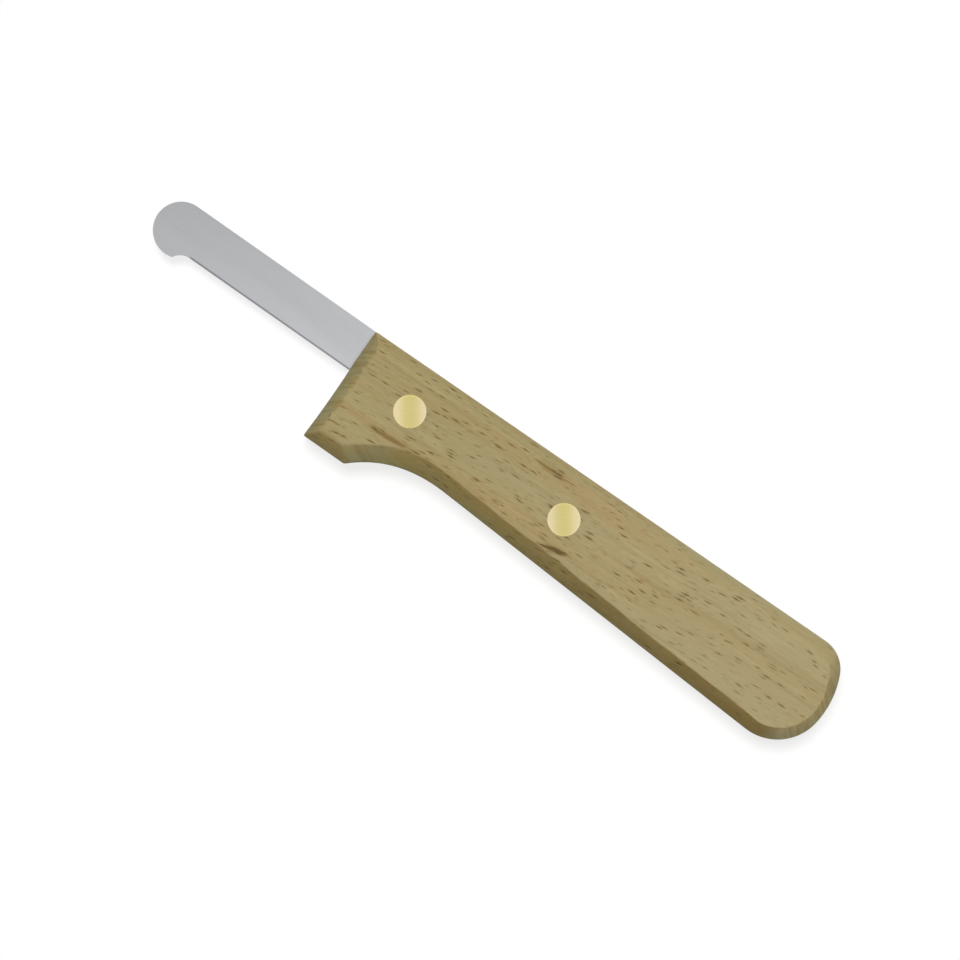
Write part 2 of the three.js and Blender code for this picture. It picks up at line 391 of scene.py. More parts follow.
class Blend(Enum):
    """How a colour is laid over another."""

    MIX = "MIX"
    MULTIPLY = "MULTIPLY"


class Ease(Enum):
    """How a number passes from one value to another."""

    SMOOTH = "SMOOTHSTEP"
    EVEN = "LINEAR"


@dataclass(frozen=True)
class Pattern:
    """A random pattern: waves to a unit along each axis, finer octaves, and the span where it shows."""

    waves: Triple
    detail: float = 2.0
    rough: float = 0.5
    shows: Span = NONE_TO_ALL


class Graph:
    """A node tree, with one short call for each kind of node that the finishes use."""

    def __init__(self, tree: bpy.types.NodeTree) -> None:
        """Clears the tree and keeps it."""
        self.tree = tree
        tree.nodes.clear()

    def node(
        self, kind: str, inputs: dict[str | int, object] | None = None, **settings: object
    ) -> bpy.types.Node:
        """Adds a node.

        Args:
            kind: Blender's name for the node's type.
            inputs: Input sockets by name or place, each a value or a socket to link from.
            settings: Properties of the node.

        Returns:
            The new node.
        """
        made = self.tree.nodes.new(kind)
        for key, value in settings.items():
            setattr(made, key, value)
        for key, value in (inputs or {}).items():
            self.feed(made.inputs[key], value)
        return made

    def feed(self, socket: Socket, value: object) -> None:
        """Links a socket to another, or sets its own value.

        Args:
            socket: Input socket to feed.
            value: A socket to link from, or a number, vector or colour.
        """
        if isinstance(value, Socket):
            self.tree.links.new(value, socket)
        elif isinstance(value, tuple) and len(value) == 3 and socket.type == "RGBA":
            socket.default_value = (*value, 1.0)
        else:
            socket.default_value = value

    def math(self, operation: str, *values: object, clamp: bool = False) -> Socket:
        """Works out a sum on numbers.

        Args:
            operation: Name of the sum, such as ADD or MULTIPLY.
            values: One to three numbers or sockets.
            clamp: True to keep the result between 0 and 1.

        Returns:
            The result's socket.
        """
        made = self.node("ShaderNodeMath", dict(enumerate(values)), operation=operation, use_clamp=clamp)
        return made.outputs[0]

    def vector(self, operation: str, *values: object) -> Socket:
        """Works out a sum on vectors.

        Args:
            operation: Name of the sum, such as ADD or LENGTH.
            values: One or two vectors or sockets.

        Returns:
            The result's socket, a number for a length or a dot product and else a vector.
        """
        made = self.node("ShaderNodeVectorMath", dict(enumerate(values)), operation=operation)
        return made.outputs["Value" if operation in ("LENGTH", "DOT_PRODUCT") else "Vector"]

    def step(
        self, value: object, span: Span, to: Span = NONE_TO_ALL, ease: Ease = Ease.SMOOTH
    ) -> Socket:
        """Eases a number from one value to another as it passes over a span.

        Args:
            value: Number to ease.
            span: Where the ease starts and where it ends.
            to: Values before and after.
            ease: How the number passes.

        Returns:
            The eased number's socket.
        """
        ends = {"From Min": span[0], "From Max": span[1], "To Min": to[0], "To Max": to[1]}
        made = self.node("ShaderNodeMapRange", {"Value": value, **ends}, interpolation_type=ease.value)
        return made.outputs["Result"]

    def run(
        self, place: Socket, start: float, span: Span, to: Span = NONE_TO_ALL, ease: Ease = Ease.SMOOTH
    ) -> Socket:
        """Eases a number over a stretch of the piece.

        Args:
            place: Place in millimetres.
            start: Place in metres that the stretch is measured from.
            span: Where the ease starts and where it ends, in metres from there.
            to: Values before and after.
            ease: How the number passes.

        Returns:
            The eased number's socket.
        """
        return self.step(place, ((start + span[0]) / MM, (start + span[1]) / MM), to, ease)

    def place(self, shift: Sequence[float], turn_degrees: Triple, size: Triple) -> Socket:
        """Gives object coordinates seen from a place on the piece.

        Args:
            shift: Place in metres that becomes the origin.
            turn_degrees: Turn of the pattern's own axes about X, Y and Z.
            size: Length of one pattern unit along each of its axes.

        Returns:
            The vector's socket.
        """
        source = self.node("ShaderNodeTexCoord").outputs["Object"]
        inputs = {
            "Vector": source,
            "Location": tuple(shift),
            "Rotation": tuple(math.radians(turn) for turn in turn_degrees),
            "Scale": size,
        }
        return self.node("ShaderNodeMapping", inputs, vector_type="TEXTURE").outputs["Vector"]

    def parts(self, vector: Socket) -> Sockets:
        """Gives the three parts of a vector, by name."""
        return self.node("ShaderNodeSeparateXYZ", {0: vector}).outputs

    def facing(self) -> Sockets:
        """Gives the three parts of the direction that the surface faces, by name."""
        return self.parts(self.node("ShaderNodeNewGeometry").outputs["Normal"])

    def stretch(self, vector: Socket, by: Sequence[float]) -> Socket:
        """Multiplies a vector's three parts."""
        return self.vector("MULTIPLY", vector, tuple(by))

    def noise(self, vector: Socket, pattern: Pattern) -> Sockets:
        """Lays out a random pattern.

        Args:
            vector: Place to look up.
            pattern: The pattern.

        Returns:
            Its outputs: Fac is a smooth random number from 0 to 1, and Color three of them.
        """
        spot = self.stretch(vector, pattern.waves)
        fineness = {"Detail": pattern.detail, "Roughness": pattern.rough}
        return self.node("ShaderNodeTexNoise", {"Vector": spot, "Scale": 1.0, **fineness}).outputs

    def shown(self, vector: Socket, pattern: Pattern, to: Span = NONE_TO_ALL) -> Socket:
        """Eases a number from one value to another over the span where a pattern shows."""
        return self.step(self.noise(vector, pattern)["Fac"], pattern.shows, to)

    def swing(self, vector: Socket, pattern: Pattern, reach: float) -> Socket:
        """Gives a random number that swings over a reach, half of it to each side of 0."""
        return self.math("MULTIPLY_ADD", self.noise(vector, pattern)["Fac"], reach, -reach / 2.0)

    def sway(self, vector: Socket, pattern: Pattern, reach: Triple) -> Socket:
        """Gives a random vector that swings over a reach along each axis."""
        return self.stretch(self.vector("SUBTRACT", self.noise(vector, pattern)["Color"], HALF), reach)

    def mix(self, share: object, first: object, second: object, blend: Blend = Blend.MIX) -> Socket:
        """Lays one colour over another.

        Args:
            share: How much of the second shows.
            first: Colour below.
            second: Colour laid over it.
            blend: How it is laid.

        Returns:
            The colour's socket.
        """
        made = self.node("ShaderNodeMix", data_type="RGBA", blend_type=blend.value)
        sockets = {socket.identifier: socket for socket in made.inputs}
        self.feed(sockets["Factor_Float"], share)
        self.feed(sockets["A_Color"], first)
        self.feed(sockets["B_Color"], second)
        return next(socket for socket in made.outputs if socket.identifier == "Result_Color")

    def tinted(self, colour: object, tint: object) -> Socket:
        """Multiplies a colour by a tint."""
        return self.mix(1.0, colour, tint, Blend.MULTIPLY)

    def grey(self, value: Socket) -> Socket:
        """Makes a grey of a number."""
        return self.node("ShaderNodeCombineColor", {0: value, 1: value, 2: value}).outputs[0]

    def relief(self, height: Socket, strength: float, depth: float) -> Socket:
        """Gives the direction that a surface with a fine relief faces."""
        inputs = {"Height": height, "Strength": strength, "Distance": depth}
        return self.node("ShaderNodeBump", inputs).outputs["Normal"]

    def either(self, share: object, first: Socket, second: Socket) -> Socket:
        """Mixes two shaders, with the share of the second."""
        return self.node("ShaderNodeMixShader", {0: share, 1: first, 2: second}).outputs[0]

    def finish(self, shader: Socket, output: str = "ShaderNodeOutputMaterial") -> None:
        """Sends a shader to the tree's output."""
        self.node(output, {"Surface": shader})

    def surface(self, inputs: dict[str, object]) -> None:
        """Makes the surface that these inputs describe and sends it to the output."""
        self.finish(self.node("ShaderNodeBsdfPrincipled", inputs).outputs["BSDF"])


def new_material(name: str) -> tuple[bpy.types.Material, Graph]:
    """Makes an empty node material.

    Args:
        name: Name of the material.

    Returns:
        The material and the graph of its nodes.
    """
    material = bpy.data.materials.new(name)
    material.use_nodes = True
    return material, Graph(material.node_tree)


# Finishes


@dataclass(frozen=True)
class GrainMark:
    """A dark streak or small knot in the beech, placed from the handle's corner."""

    x: float
    y: float
    half_length: float
    half_width: float
    turn_degrees: float
    strength: float


@dataclass(frozen=True)
class FleckLayer:
    """A kind of ray fleck: its cells in millimetres, the share of them that hold one, and its colour.

    A calmed kind thins out where the wood is calmer.
    """

    cell: Triple
    kept: float
    strength: float
    colour: Colour
    calmed: bool


@dataclass(frozen=True)
class WoodSpot:
    """What the beech's finish knows of a point on the handle, as sockets of its graph.

    It holds the place in millimetres in the straight grain and along it, the parts of the direction
    that the surface faces, and how far it faces the back and how far it is end grain.
    """

    g: Graph
    corner: Array
    grain: Socket
    along: Socket
    facing: Sockets
    back: Socket
    end: Socket

    def run(self, span: Span, to: Span = NONE_TO_ALL) -> Socket:
        """Eases a number along the handle, over a span measured from its corner."""
        return self.g.run(self.along, self.corner[0], span, to)


@dataclass(frozen=True)
class BeechFinish:
    """Sanded, thinly oiled beech: pale ground, short dark ray flecks, darker end grain, painted shade and
    light.
    """

    slot: str = "beech"
    pale: Colour = (0.4245, 0.3435, 0.1695)
    warm: Colour = (0.4225, 0.3065, 0.1385)
    fleck: Colour = (0.118, 0.069, 0.007)
    dash: Colour = (0.510, 0.425, 0.222)
    streak: Colour = (0.220, 0.140, 0.042)
    knot: Colour = (0.120, 0.073, 0.021)
    pale_ray: Colour = (1.10, 1.10, 1.10)
    # Painted shade: the chamfer tints darken and brown the chamfers as the shade that they lie in.
    chamfered: Colour = (0.975, 0.950, 0.735)
    painted_rear_shade: Colour = (0.745, 0.620, 0.345)
    # End grain is darker; these tints also paint shade and light by the way each end faces.
    end_grain_and_shade: Colour = (0.922, 0.954, 0.885)
    butt_grain_and_shade: Colour = (0.95, 0.954, 0.805)
    # Painted shade where an end faces the back and the key lamp; painted light on the lower butt.
    painted_back_end_shade: Colour = (0.782, 0.753, 0.641)
    painted_low_end_light: Colour = (1.118, 1.10, 1.05)
    # Painted shade in the scoop.
    painted_scoop_shade: Colour = (0.89, 0.95, 1.02)
    front_tone: Colour = (0.950, 0.952, 0.895)
    rear_tone: Colour = (1.005, 1.003, 1.000)
    ring_line: Colour = (0.84, 0.80, 0.72)
    # Painted shade on the back chamfer, darker than the key lamp leaves it.
    painted_back_shade: Colour = (0.774, 0.767, 0.706)
    # Painted light that lifts the walls a little.
    painted_wall_light: Colour = (1.03, 1.04, 0.99)
    # Painted shade that deepens towards the chamfers' outer rim; on the back, painted cool light.
    rim: Colour = (0.82, 0.885, 0.95)
    painted_back_cool_light: Colour = (0.962, 1.05, 1.14)

    grain_turn: Triple = (0.0, 0.0, 3.4)
    ring_turn: Triple = (55.0, 0.0, 1.5)
    slow_bend: Pattern = Pattern((0.02, 0.06, 0.06))
    slow_reach: float = 5.0
    quick_bend: Pattern = Pattern((0.10, 0.25, 0.25), detail=1.0)
    quick_reach: float = 1.0
    curl_start: float = 45.0 * MM
    curl: float = 0.00114
    bands: Pattern = Pattern((0.012, 0.03, 0.32), detail=3.0, shows=(0.35, 0.68))
    warm_run: Span = (55.0 * MM, 90.0 * MM)
    warm_share: Span = (1.1, 0.6)
    stripes: Pattern = Pattern((0.022, 0.10, 1.04), detail=3.0, rough=0.6, shows=(0.50, 0.74))
    stripe_strength: float = 0.24
    rays: Pattern = Pattern((0.05, 0.16, 0.85), detail=3.0, rough=0.6, shows=(0.54, 0.72))
    ring_lines: Pattern = Pattern((0.02, 0.12, 1.5), detail=1.0, shows=(0.42, 0.62))
    fibres: Pattern = Pattern((0.16, 2.6, 2.2), detail=3.0, rough=0.6, shows=(0.30, 0.72))
    fibre_tone: Span = (0.963, 1.048)

    tone_run: Span = (10.0 * MM, 95.0 * MM)
    calm_run: Span = (50.0 * MM, 95.0 * MM)
    calm_strength: Span = (1.0, 0.84)
    calm_loss: Span = (0.0, 0.2)
    front_run: Span = (15.0 * MM, 35.0 * MM)
    front_loss: Span = (0.06, -0.05)
    end_loss: float = 0.85
    # Painted shade on the long chamfers, deeper towards the rear and in patches.
    rear_shade_run: Span = (5.0 * MM, 100.0 * MM)
    rear_shade_strength: float = 0.8
    rear_shade_patches: Pattern = Pattern((0.11, 0.4, 0.4), shows=(0.42, 0.62))
    patch_strength: float = 0.2
    scoop_run: Span = (40.0 * MM, 90.0 * MM)

    back_facing: Span = (0.02, 0.25)
    end_facing: Span = (0.17, 0.40)
    end_hold: float = 0.1
    rear_facing: Span = (-0.1, 0.1)
    low_facing: Span = (-0.3, -0.6)
    wall_facing: Span = (0.35, 0.05)
    slope_facing: Span = (0.97, 0.80)
    back_gain: float = 1.35
    back_power: float = 0.7
    # Where the painted rim shade and the back's painted cool light start and end.
    rim_shade_drop: Span = (-0.2 * MM, -2.2 * MM)
    back_cool_light_drop: Span = (-0.9 * MM, -2.5 * MM)

    fleck_power: float = 1.5
    fleck_reach: float = 0.36
    fleck_range: float = 0.28
    fleck_edge: Span = (1.0, 0.1)
    fleck_depth: Span = (0.45, 1.0)
    sure_share: float = 0.55
    fray: Pattern = Pattern((1.1, 3.2, 2.0))
    fray_reach: Triple = (1.0, 0.30, 0.3)
    layers: tuple[FleckLayer, ...] = (
        FleckLayer((2.6, 0.34, 0.6), 0.42, 0.60, dash, calmed=False),
        FleckLayer((1.1, 0.30, 0.4), 0.36, 0.22, fleck, calmed=False),
        FleckLayer((2.0, 0.36, 0.5), 0.48, 0.46, fleck, calmed=True),
        FleckLayer((3.2, 0.55, 0.9), 0.60, 0.98, fleck, calmed=True),
    )

    mark_depth: float = 9.0 * MM
    mark_edge: Span = (1.05, 0.45)
    mark_fibres: Span = (0.64, 0.42)
    mark_share: float = 0.80
    mark_sway: Pattern = Pattern((0.5, 1.3, 0.6))
    mark_reach: Triple = (0.6, 1.2, 0.0)
    streaks: tuple[GrainMark, ...] = (
        GrainMark(14.2 * MM, -16.1 * MM, 6.8 * MM, 0.80 * MM, 5.2, 0.45),
        GrainMark(14.4 * MM, -16.1 * MM, 4.8 * MM, 0.50 * MM, 4.6, 0.88),
        GrainMark(44.0 * MM, -2.60 * MM, 4.2 * MM, 0.30 * MM, 1.5, 0.85),
        GrainMark(45.6 * MM, -2.50 * MM, 5.0 * MM, 1.30 * MM, 2.0, 0.40),
        GrainMark(54.8 * MM, -15.4 * MM, 4.2 * MM, 0.95 * MM, 10.6, 0.50),
        GrainMark(3.9 * MM, -19.7 * MM, 1.7 * MM, 0.17 * MM, 5.0, 0.85),
        GrainMark(2.1 * MM, -19.2 * MM, 0.9 * MM, 0.15 * MM, -62.0, 0.80),
    )
    knots: tuple[GrainMark, ...] = (
        GrainMark(46.9 * MM, -1.65 * MM, 1.0 * MM, 0.28 * MM, 4.0, 0.66),
        GrainMark(46.4 * MM, -2.40 * MM, 1.6 * MM, 0.32 * MM, 2.0, 0.80),
        GrainMark(47.0 * MM, -3.00 * MM, 1.3 * MM, 0.28 * MM, 6.0, 0.75),
        GrainMark(55.3 * MM, -15.3 * MM, 2.9 * MM, 0.66 * MM, 10.6, 1.0),
        GrainMark(52.9 * MM, -15.9 * MM, 2.2 * MM, 0.30 * MM, 12.0, 0.90),
    )

    roughness: float = 0.58
    fibre_roughness: float = 0.12
    gloss: float = 0.35
    fibre_height: float = 0.25
    relief_strength: float = 0.35
    relief_depth: float = 0.06 * MM

    def spot(self, g: Graph, corner: Array) -> WoodSpot:
        """Finds what the finish needs to know of a point.

        End grain faces along the handle. On the back's side a face has to do so a little more.

        Args:
            g: Graph of the material.
            corner: The handle's corner in X and Y.

        Returns:
            The sockets.
        """
        grain = g.place(ORIGIN, self.grain_turn, IN_MM)
        facing = g.facing()
        back = g.step(facing["Y"], self.back_facing)
        lean = g.math("MULTIPLY_ADD", back, -self.end_hold, g.math("ABSOLUTE", facing["X"]))
        end = g.step(lean, self.end_facing)
        return WoodSpot(g, corner, grain, g.parts(grain)["X"], facing, back, end)

    def curved(self, at: WoodSpot) -> Socket:
        """Bends straight grain: slow waves everywhere, and a sweep towards the guard at the front.

        The sweep adds curl times the square of the distance ahead of its start.

        Args:
            at: The point.

        Returns:
            Place in millimetres along, across and into the bent grain.
        """
        g = at.g
        slow = g.swing(at.grain, self.slow_bend, self.slow_reach)
        wave = g.math("ADD", slow, g.swing(at.grain, self.quick_bend, self.quick_reach))
        ahead = g.math("SUBTRACT", at.along, (at.corner[0] + self.curl_start) / MM)
        ahead = g.math("MINIMUM", ahead, 0.0)
        sweep = g.math("MULTIPLY_ADD", g.math("MULTIPLY", ahead, ahead), self.curl, wave)
        lift = g.node("ShaderNodeCombineXYZ", {"Y": sweep}).outputs["Vector"]
        return g.vector("ADD", at.grain, lift)

    def ground(self, at: WoodSpot, fibre: Socket) -> Socket:
        """Colours the bare wood by its growth rings and fibres.

        The warm bands are calmer towards the butt, and on end grain the rings show as lines.

        Args:
            at: The point.
            fibre: Fine pattern of the fibres.

        Returns:
            The colour.
        """
        g = at.g
        rings = g.place(ORIGIN, self.ring_turn, IN_MM)
        warmth = g.math("MULTIPLY", g.shown(rings, self.bands), at.run(self.warm_run, self.warm_share))
        colour = g.mix(warmth, self.pale, self.warm)
        stripes = g.shown(rings, self.stripes, (0.0, self.stripe_strength))
        colour = g.mix(stripes, colour, self.streak)
        colour = g.mix(g.shown(rings, self.rays), colour, g.tinted(colour, self.pale_ray))
        colour = g.tinted(colour, g.grey(g.step(fibre, self.fibres.shows, self.fibre_tone)))
        lines = g.math("MULTIPLY", g.shown(rings, self.ring_lines), at.end)
        colour = g.mix(lines, colour, g.tinted(colour, self.ring_line))
        return g.tinted(colour, g.mix(at.run(self.tone_run), self.front_tone, self.rear_tone))

    def marked(self, at: WoodSpot, mark: GrainMark, sway: Socket, fibre: Socket) -> Socket:
        """Lays an uneven spindle where a streak or knot lies, with the fibres showing through it.

        Args:
            at: The point.
            mark: Place, size, direction and strength.
            sway: Vector that pushes the spindle's edge about.
            fibre: Fine pattern of the fibres.

        Returns:
            How much of the mark there is, from 0 to its strength.
        """
        g = at.g
        place = (at.corner[0] + mark.x, at.corner[1] + mark.y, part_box("handle")[1].z)
        size = (mark.half_length, mark.half_width, self.mark_depth)
        near = g.place(place, (0.0, 0.0, mark.turn_degrees), size)
        away = g.vector("LENGTH", g.vector("ADD", near, sway))
        shown = g.step(fibre, self.mark_fibres, (self.mark_share * mark.strength, mark.strength))
        return g.math("MULTIPLY", g.step(away, self.mark_edge), shown)

    def streaked(self, at: WoodSpot, colour: Socket, fibre: Socket) -> Socket:
        """Lays the streaks and then the knots over the wood.

        Args:
            at: The point.
            colour: Colour of the wood.
            fibre: Fine pattern of the fibres.

        Returns:
            The colour.
        """
        sway = at.g.sway(at.grain, self.mark_sway, self.mark_reach)
        for marks, dark in ((self.streaks, self.streak), (self.knots, self.knot)):
            for mark in marks:
                colour = at.g.mix(self.marked(at, mark, sway, fibre), colour, dark)
        return colour

    def flecks(self, g: Graph, grain: Socket, layer: FleckLayer, thin: object) -> Socket:
        """Scatters spindle-shaped ray flecks along the grain, at most one to a cell.

        Args:
            g: Graph of the material.
            grain: Place in millimetres along, across and into the wood.
            layer: Kind of fleck.
            thin: How much the share of cells with a fleck falls.

        Returns:
            How much fleck there is, from 0 to 1.
        """
        spot = g.stretch(grain, [1.0 / length for length in layer.cell])
        inputs = {"Vector": spot, "Scale": 1.0, "Randomness": 1.0, "Exponent": self.fleck_power}
        cells = g.node("ShaderNodeTexVoronoi", inputs, distance="MINKOWSKI", feature="F1")
        size, chance, depth = g.node("ShaderNodeSeparateColor", {"Color": cells.outputs["Color"]}).outputs
        reach = g.math("MULTIPLY_ADD", size, self.fleck_range, self.fleck_reach)
        inside = g.step(g.math("DIVIDE", cells.outputs["Distance"], reach), self.fleck_edge)
        picked = (1.0 - layer.kept, 1.0 - layer.kept * self.sure_share)
        chosen = g.step(g.math("SUBTRACT", chance, thin), picked)
        deep = g.math("MULTIPLY", chosen, g.step(depth, NONE_TO_ALL, self.fleck_depth))
        return g.math("MULTIPLY", inside, deep)

    def flecked(self, at: WoodSpot, colour: Socket, wavy: Socket) -> tuple[Socket, Socket]:
        """Lays the flecks over the wood, kind by kind, fewer on end grain and towards the butt.

        Args:
            at: The point.
            colour: Colour of the wood.
            wavy: Place along, across and into the bent grain.

        Returns:
            The colour, and how much there is of the last kind, the largest.
        """
        g = at.g
        thin = g.math("ADD", at.run(self.calm_run, self.calm_loss), at.run(self.front_run, self.front_loss))
        side = g.math("MULTIPLY_ADD", at.end, -self.end_loss, 1.0)
        fade = g.math("MULTIPLY", at.run(self.calm_run, self.calm_strength), side)
        frayed = g.vector("ADD", wavy, g.sway(at.grain, self.fray, self.fray_reach))
        for layer in self.layers:
            share = self.flecks(g, frayed, layer, thin if layer.calmed else 0.0)
            share = g.math("MULTIPLY", share, fade)
            colour = g.mix(g.math("MULTIPLY", share, layer.strength), colour, layer.colour)
        return colour, share

    def side_shade_tint(self, at: WoodSpot, wavy: Socket) -> Socket:
        """Tints the long chamfers with painted shade: browner in patches and towards the rear, greyer on
        the back.

        Args:
            at: The point.
            wavy: Place along, across and into the bent grain.

        Returns:
            The tint.
        """
        g = at.g
        patches = g.shown(wavy, self.rear_shade_patches)
        rear = at.run(self.rear_shade_run, (0.0, self.rear_shade_strength))
        rear_shade = g.math("MULTIPLY_ADD", patches, self.patch_strength, rear)
        return g.mix(at.back, g.mix(rear_shade, self.chamfered, self.painted_rear_shade), self.painted_back_shade)

    def end_shade_tint(self, at: WoodSpot) -> Socket:
        """Tints the end chamfers as darker end grain and painted shade and light: front, scoop, butt, back
        corners.

        Args:
            at: The point.

        Returns:
            The tint.
        """
        g = at.g
        low_ends = g.mix(at.run(self.scoop_run), self.painted_scoop_shade, self.painted_low_end_light)
        rear_ends = g.mix(g.step(at.facing["Y"], self.low_facing), self.butt_grain_and_shade, low_ends)
        ends = g.mix(g.step(at.facing["X"], self.rear_facing), self.end_grain_and_shade, rear_ends)
        return g.mix(at.back, ends, self.painted_back_end_shade)

    def painted_rim_tint(self, at: WoodSpot) -> Socket:
        """Paints shade into the chamfers towards their outer rim, and cool light in a narrower band on the
        back.

        Args:
            at: The point.

        Returns:
            The tint.
        """
        g = at.g
        low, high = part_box("handle")
        middle = g.place((0.0, 0.0, (low.z + high.z) / 2.0), ORIGIN, IN_MM)
        height = g.math("ABSOLUTE", g.parts(middle)["Z"])
        half = (high.z - low.z) / 2.0
        wide = g.mix(g.run(height, half, self.rim_shade_drop), WHITE, self.rim)
        narrow = g.mix(g.run(height, half, self.back_cool_light_drop), WHITE, self.painted_back_cool_light)
        return g.mix(at.end, g.mix(at.back, wide, narrow), wide)

    def sloped(self, at: WoodSpot, colour: Socket, wavy: Socket) -> Socket:
        """Paints shade and light into the chamfers, each side of the handle in its own way, and into the
        walls between them.

        On the back the tint grows evenly with the slope. Elsewhere it starts at the chamfer's edge.

        Args:
            at: The point.
            colour: Colour of the wood.
            wavy: Place along, across and into the bent grain.

        Returns:
            The tinted colour.
        """
        g = at.g
        flatness = g.math("ABSOLUTE", at.facing["Z"])
        tint = g.mix(at.end, self.side_shade_tint(at, wavy), self.end_shade_tint(at))
        tint = g.tinted(tint, self.painted_rim_tint(at))
        # Walls: painted light on the long sides, end grain and painted shade on the ends.
        wall = g.mix(at.end, self.painted_wall_light, self.end_grain_and_shade)
        tint = g.mix(g.step(flatness, self.wall_facing), tint, wall)

        crisp = g.math("MAXIMUM", g.math("SUBTRACT", 1.0, at.back), at.end)
        crisp = g.math("MULTIPLY", crisp, g.step(flatness, self.slope_facing))
        eased = g.math("MULTIPLY", at.facing["Y"], self.back_gain, clamp=True)
        slope = g.math("MAXIMUM", crisp, g.math("POWER", eased, self.back_power))
        return g.mix(slope, colour, g.tinted(colour, tint))

    def material(self, corner: Array) -> bpy.types.Material:
        """Makes the finish as a solid pattern, so that every face shows the same piece of wood.

        Args:
            corner: The handle's corner in X and Y.

        Returns:
            The material.
        """
        material, g = new_material("oiled_beech")
        at = self.spot(g, corner)
        wavy = self.curved(at)
        fibre = g.noise(wavy, self.fibres)["Fac"]
        colour = self.streaked(at, self.ground(at, fibre), fibre)
        colour, pits = self.flecked(at, colour, wavy)
        # Painted shade and light on the chamfers and walls.
        colour = self.sloped(at, colour, wavy)
        height = g.math("SUBTRACT", g.math("MULTIPLY", fibre, self.fibre_height), pits)
        smooth = self.roughness - self.fibre_roughness / 2.0
        g.surface({
            "Base Color": colour,
            "Roughness": g.math("MULTIPLY_ADD", fibre, self.fibre_roughness, smooth),
            "Specular IOR Level": self.gloss,
            "Normal": g.relief(height, self.relief_strength, self.relief_depth),
        })
        return material


@dataclass(frozen=True)
class SteelFinish:
    """Satin ground steel: fine lines along the blade, a darker honed bevel, painted light near heel and
    edge.

    Runs are measured from the front end of the cutting edge. The bevel is darker partly as honed steel,
    partly as painted shade.
    """

    slot: str = "blade_steel"
    ground: Colour = (0.551, 0.558, 0.568)
    # The honed bevel: darker partly as its own finish, partly as painted shade.
    honed: Colour = (0.28, 0.28, 0.30)
    lines: Pattern = Pattern((0.25, 8.0, 8.0), detail=3.0, rough=0.65, shows=(0.25, 0.75))
    line_tone: Span = (0.98, 1.01)
    clouds: Pattern = Pattern((0.05, 0.22, 0.2), shows=(0.3, 0.7))
    cloud_tone: Span = (-0.015, 0.015)
    # Painted light: the steel is painted lighter from the tip towards the heel, and near the edge.
    heelward_light_run: Span = (-10.0 * MM, 40.0 * MM)
    painted_heelward_light: Span = (0.903, 1.09)
    edge_light_run: Span = (5.0 * MM, 1.0 * MM)
    painted_edge_light: Span = (1.0, 1.05)
    # Painted light at the heel, lifting the shade that the handle's front casts on the steel.
    heel_light_run: Span = (37.5 * MM, 39.5 * MM)
    painted_heel_light: Span = (1.0, 1.11)
    hone_start: Span = (-0.5 * MM, 0.5 * MM)
    hone_top: Span = (0.05 * MM, -0.05 * MM)
    roughness: float = 0.28
    line_roughness: float = 0.10
    relief_strength: float = 0.03
    relief_depth: float = 0.01 * MM

    def material(self, edge: Array, bevel: float) -> bpy.types.Material:
        """Makes the finish.

        Args:
            edge: Front end of the cutting edge in X and Y.
            bevel: Height of the honed bevel.

        Returns:
            The material.
        """
        material, g = new_material("satin_steel")
        grain = g.place(ORIGIN, ORIGIN, IN_MM)
        spot = g.parts(grain)
        lines = g.noise(grain, self.lines)["Fac"]
        fine = g.step(lines, self.lines.shows, self.line_tone)
        tone = g.math("ADD", fine, g.shown(grain, self.clouds, self.cloud_tone))
        eases = [
            # Painted light along the blade, near the edge, and at the heel.
            g.run(spot["X"], edge[0], self.heelward_light_run, self.painted_heelward_light, Ease.EVEN),
            g.run(spot["Y"], edge[1], self.edge_light_run, self.painted_edge_light),
            g.run(spot["X"], edge[0], self.heel_light_run, self.painted_heel_light),
        ]
        for ease in eases:
            tone = g.math("MULTIPLY", tone, ease)
        low = g.run(spot["Y"], edge[1] + bevel, self.hone_top)
        hone = g.math("MULTIPLY", low, g.run(spot["X"], edge[0], self.hone_start))
        smooth = self.roughness - self.line_roughness / 2.0
        g.surface({
            "Base Color": g.tinted(g.mix(hone, self.ground, self.honed), g.grey(tone)),
            "Metallic": 1.0,
            "Roughness": g.math("MULTIPLY_ADD", lines, self.line_roughness, smooth),
            "Normal": g.relief(lines, self.relief_strength, self.relief_depth),
        })
        return material


@dataclass(frozen=True)
class BrassFinish:
    """Brass ground flush and brushed one way, so that its gleam draws out across the brush lines."""

    slot: str = "rivet_brass"
    band: Colour = (0.842, 0.712, 0.290)
    # Painted reflection: the heads' flanks are painted paler, as the reflection of bright sides.
    painted_flank_sheen: Colour = (0.835, 0.712, 0.412)
    flank_sheen_span: Span = (0.1, 0.9)
    lines: Pattern = Pattern((9.0, 0.5, 1.0), rough=0.6, shows=(0.25, 0.75))
    line_tone: Span = (0.98, 1.02)
    roughness: float = 0.21
    draw: float = 0.88

    def material(self) -> bpy.types.Material:
        """Makes the finish, with the brush lines along V of the piece's own map and painted paler flanks.

        Returns:
            The material.
        """
        material, g = new_material("brushed_brass")
        chart = g.node("ShaderNodeUVMap", uv_map=GRIND_MAP).outputs["UV"]
        tone = g.shown(chart, self.lines, self.line_tone)
        across = g.math("ABSOLUTE", g.parts(chart)["Y"])
        # Painted reflection on the flanks.
        colour = g.mix(g.step(across, self.flank_sheen_span), self.band, self.painted_flank_sheen)
        tangent = g.node("ShaderNodeTangent", direction_type="UV_MAP", uv_map=GRIND_MAP)
        g.surface({
            "Base Color": g.tinted(colour, g.grey(tone)),
            "Metallic": 1.0,
            "Roughness": self.roughness,
            "Anisotropic": self.draw,
            "Tangent": tangent.outputs["Tangent"],
        })
        return material


# Rivets and their holes


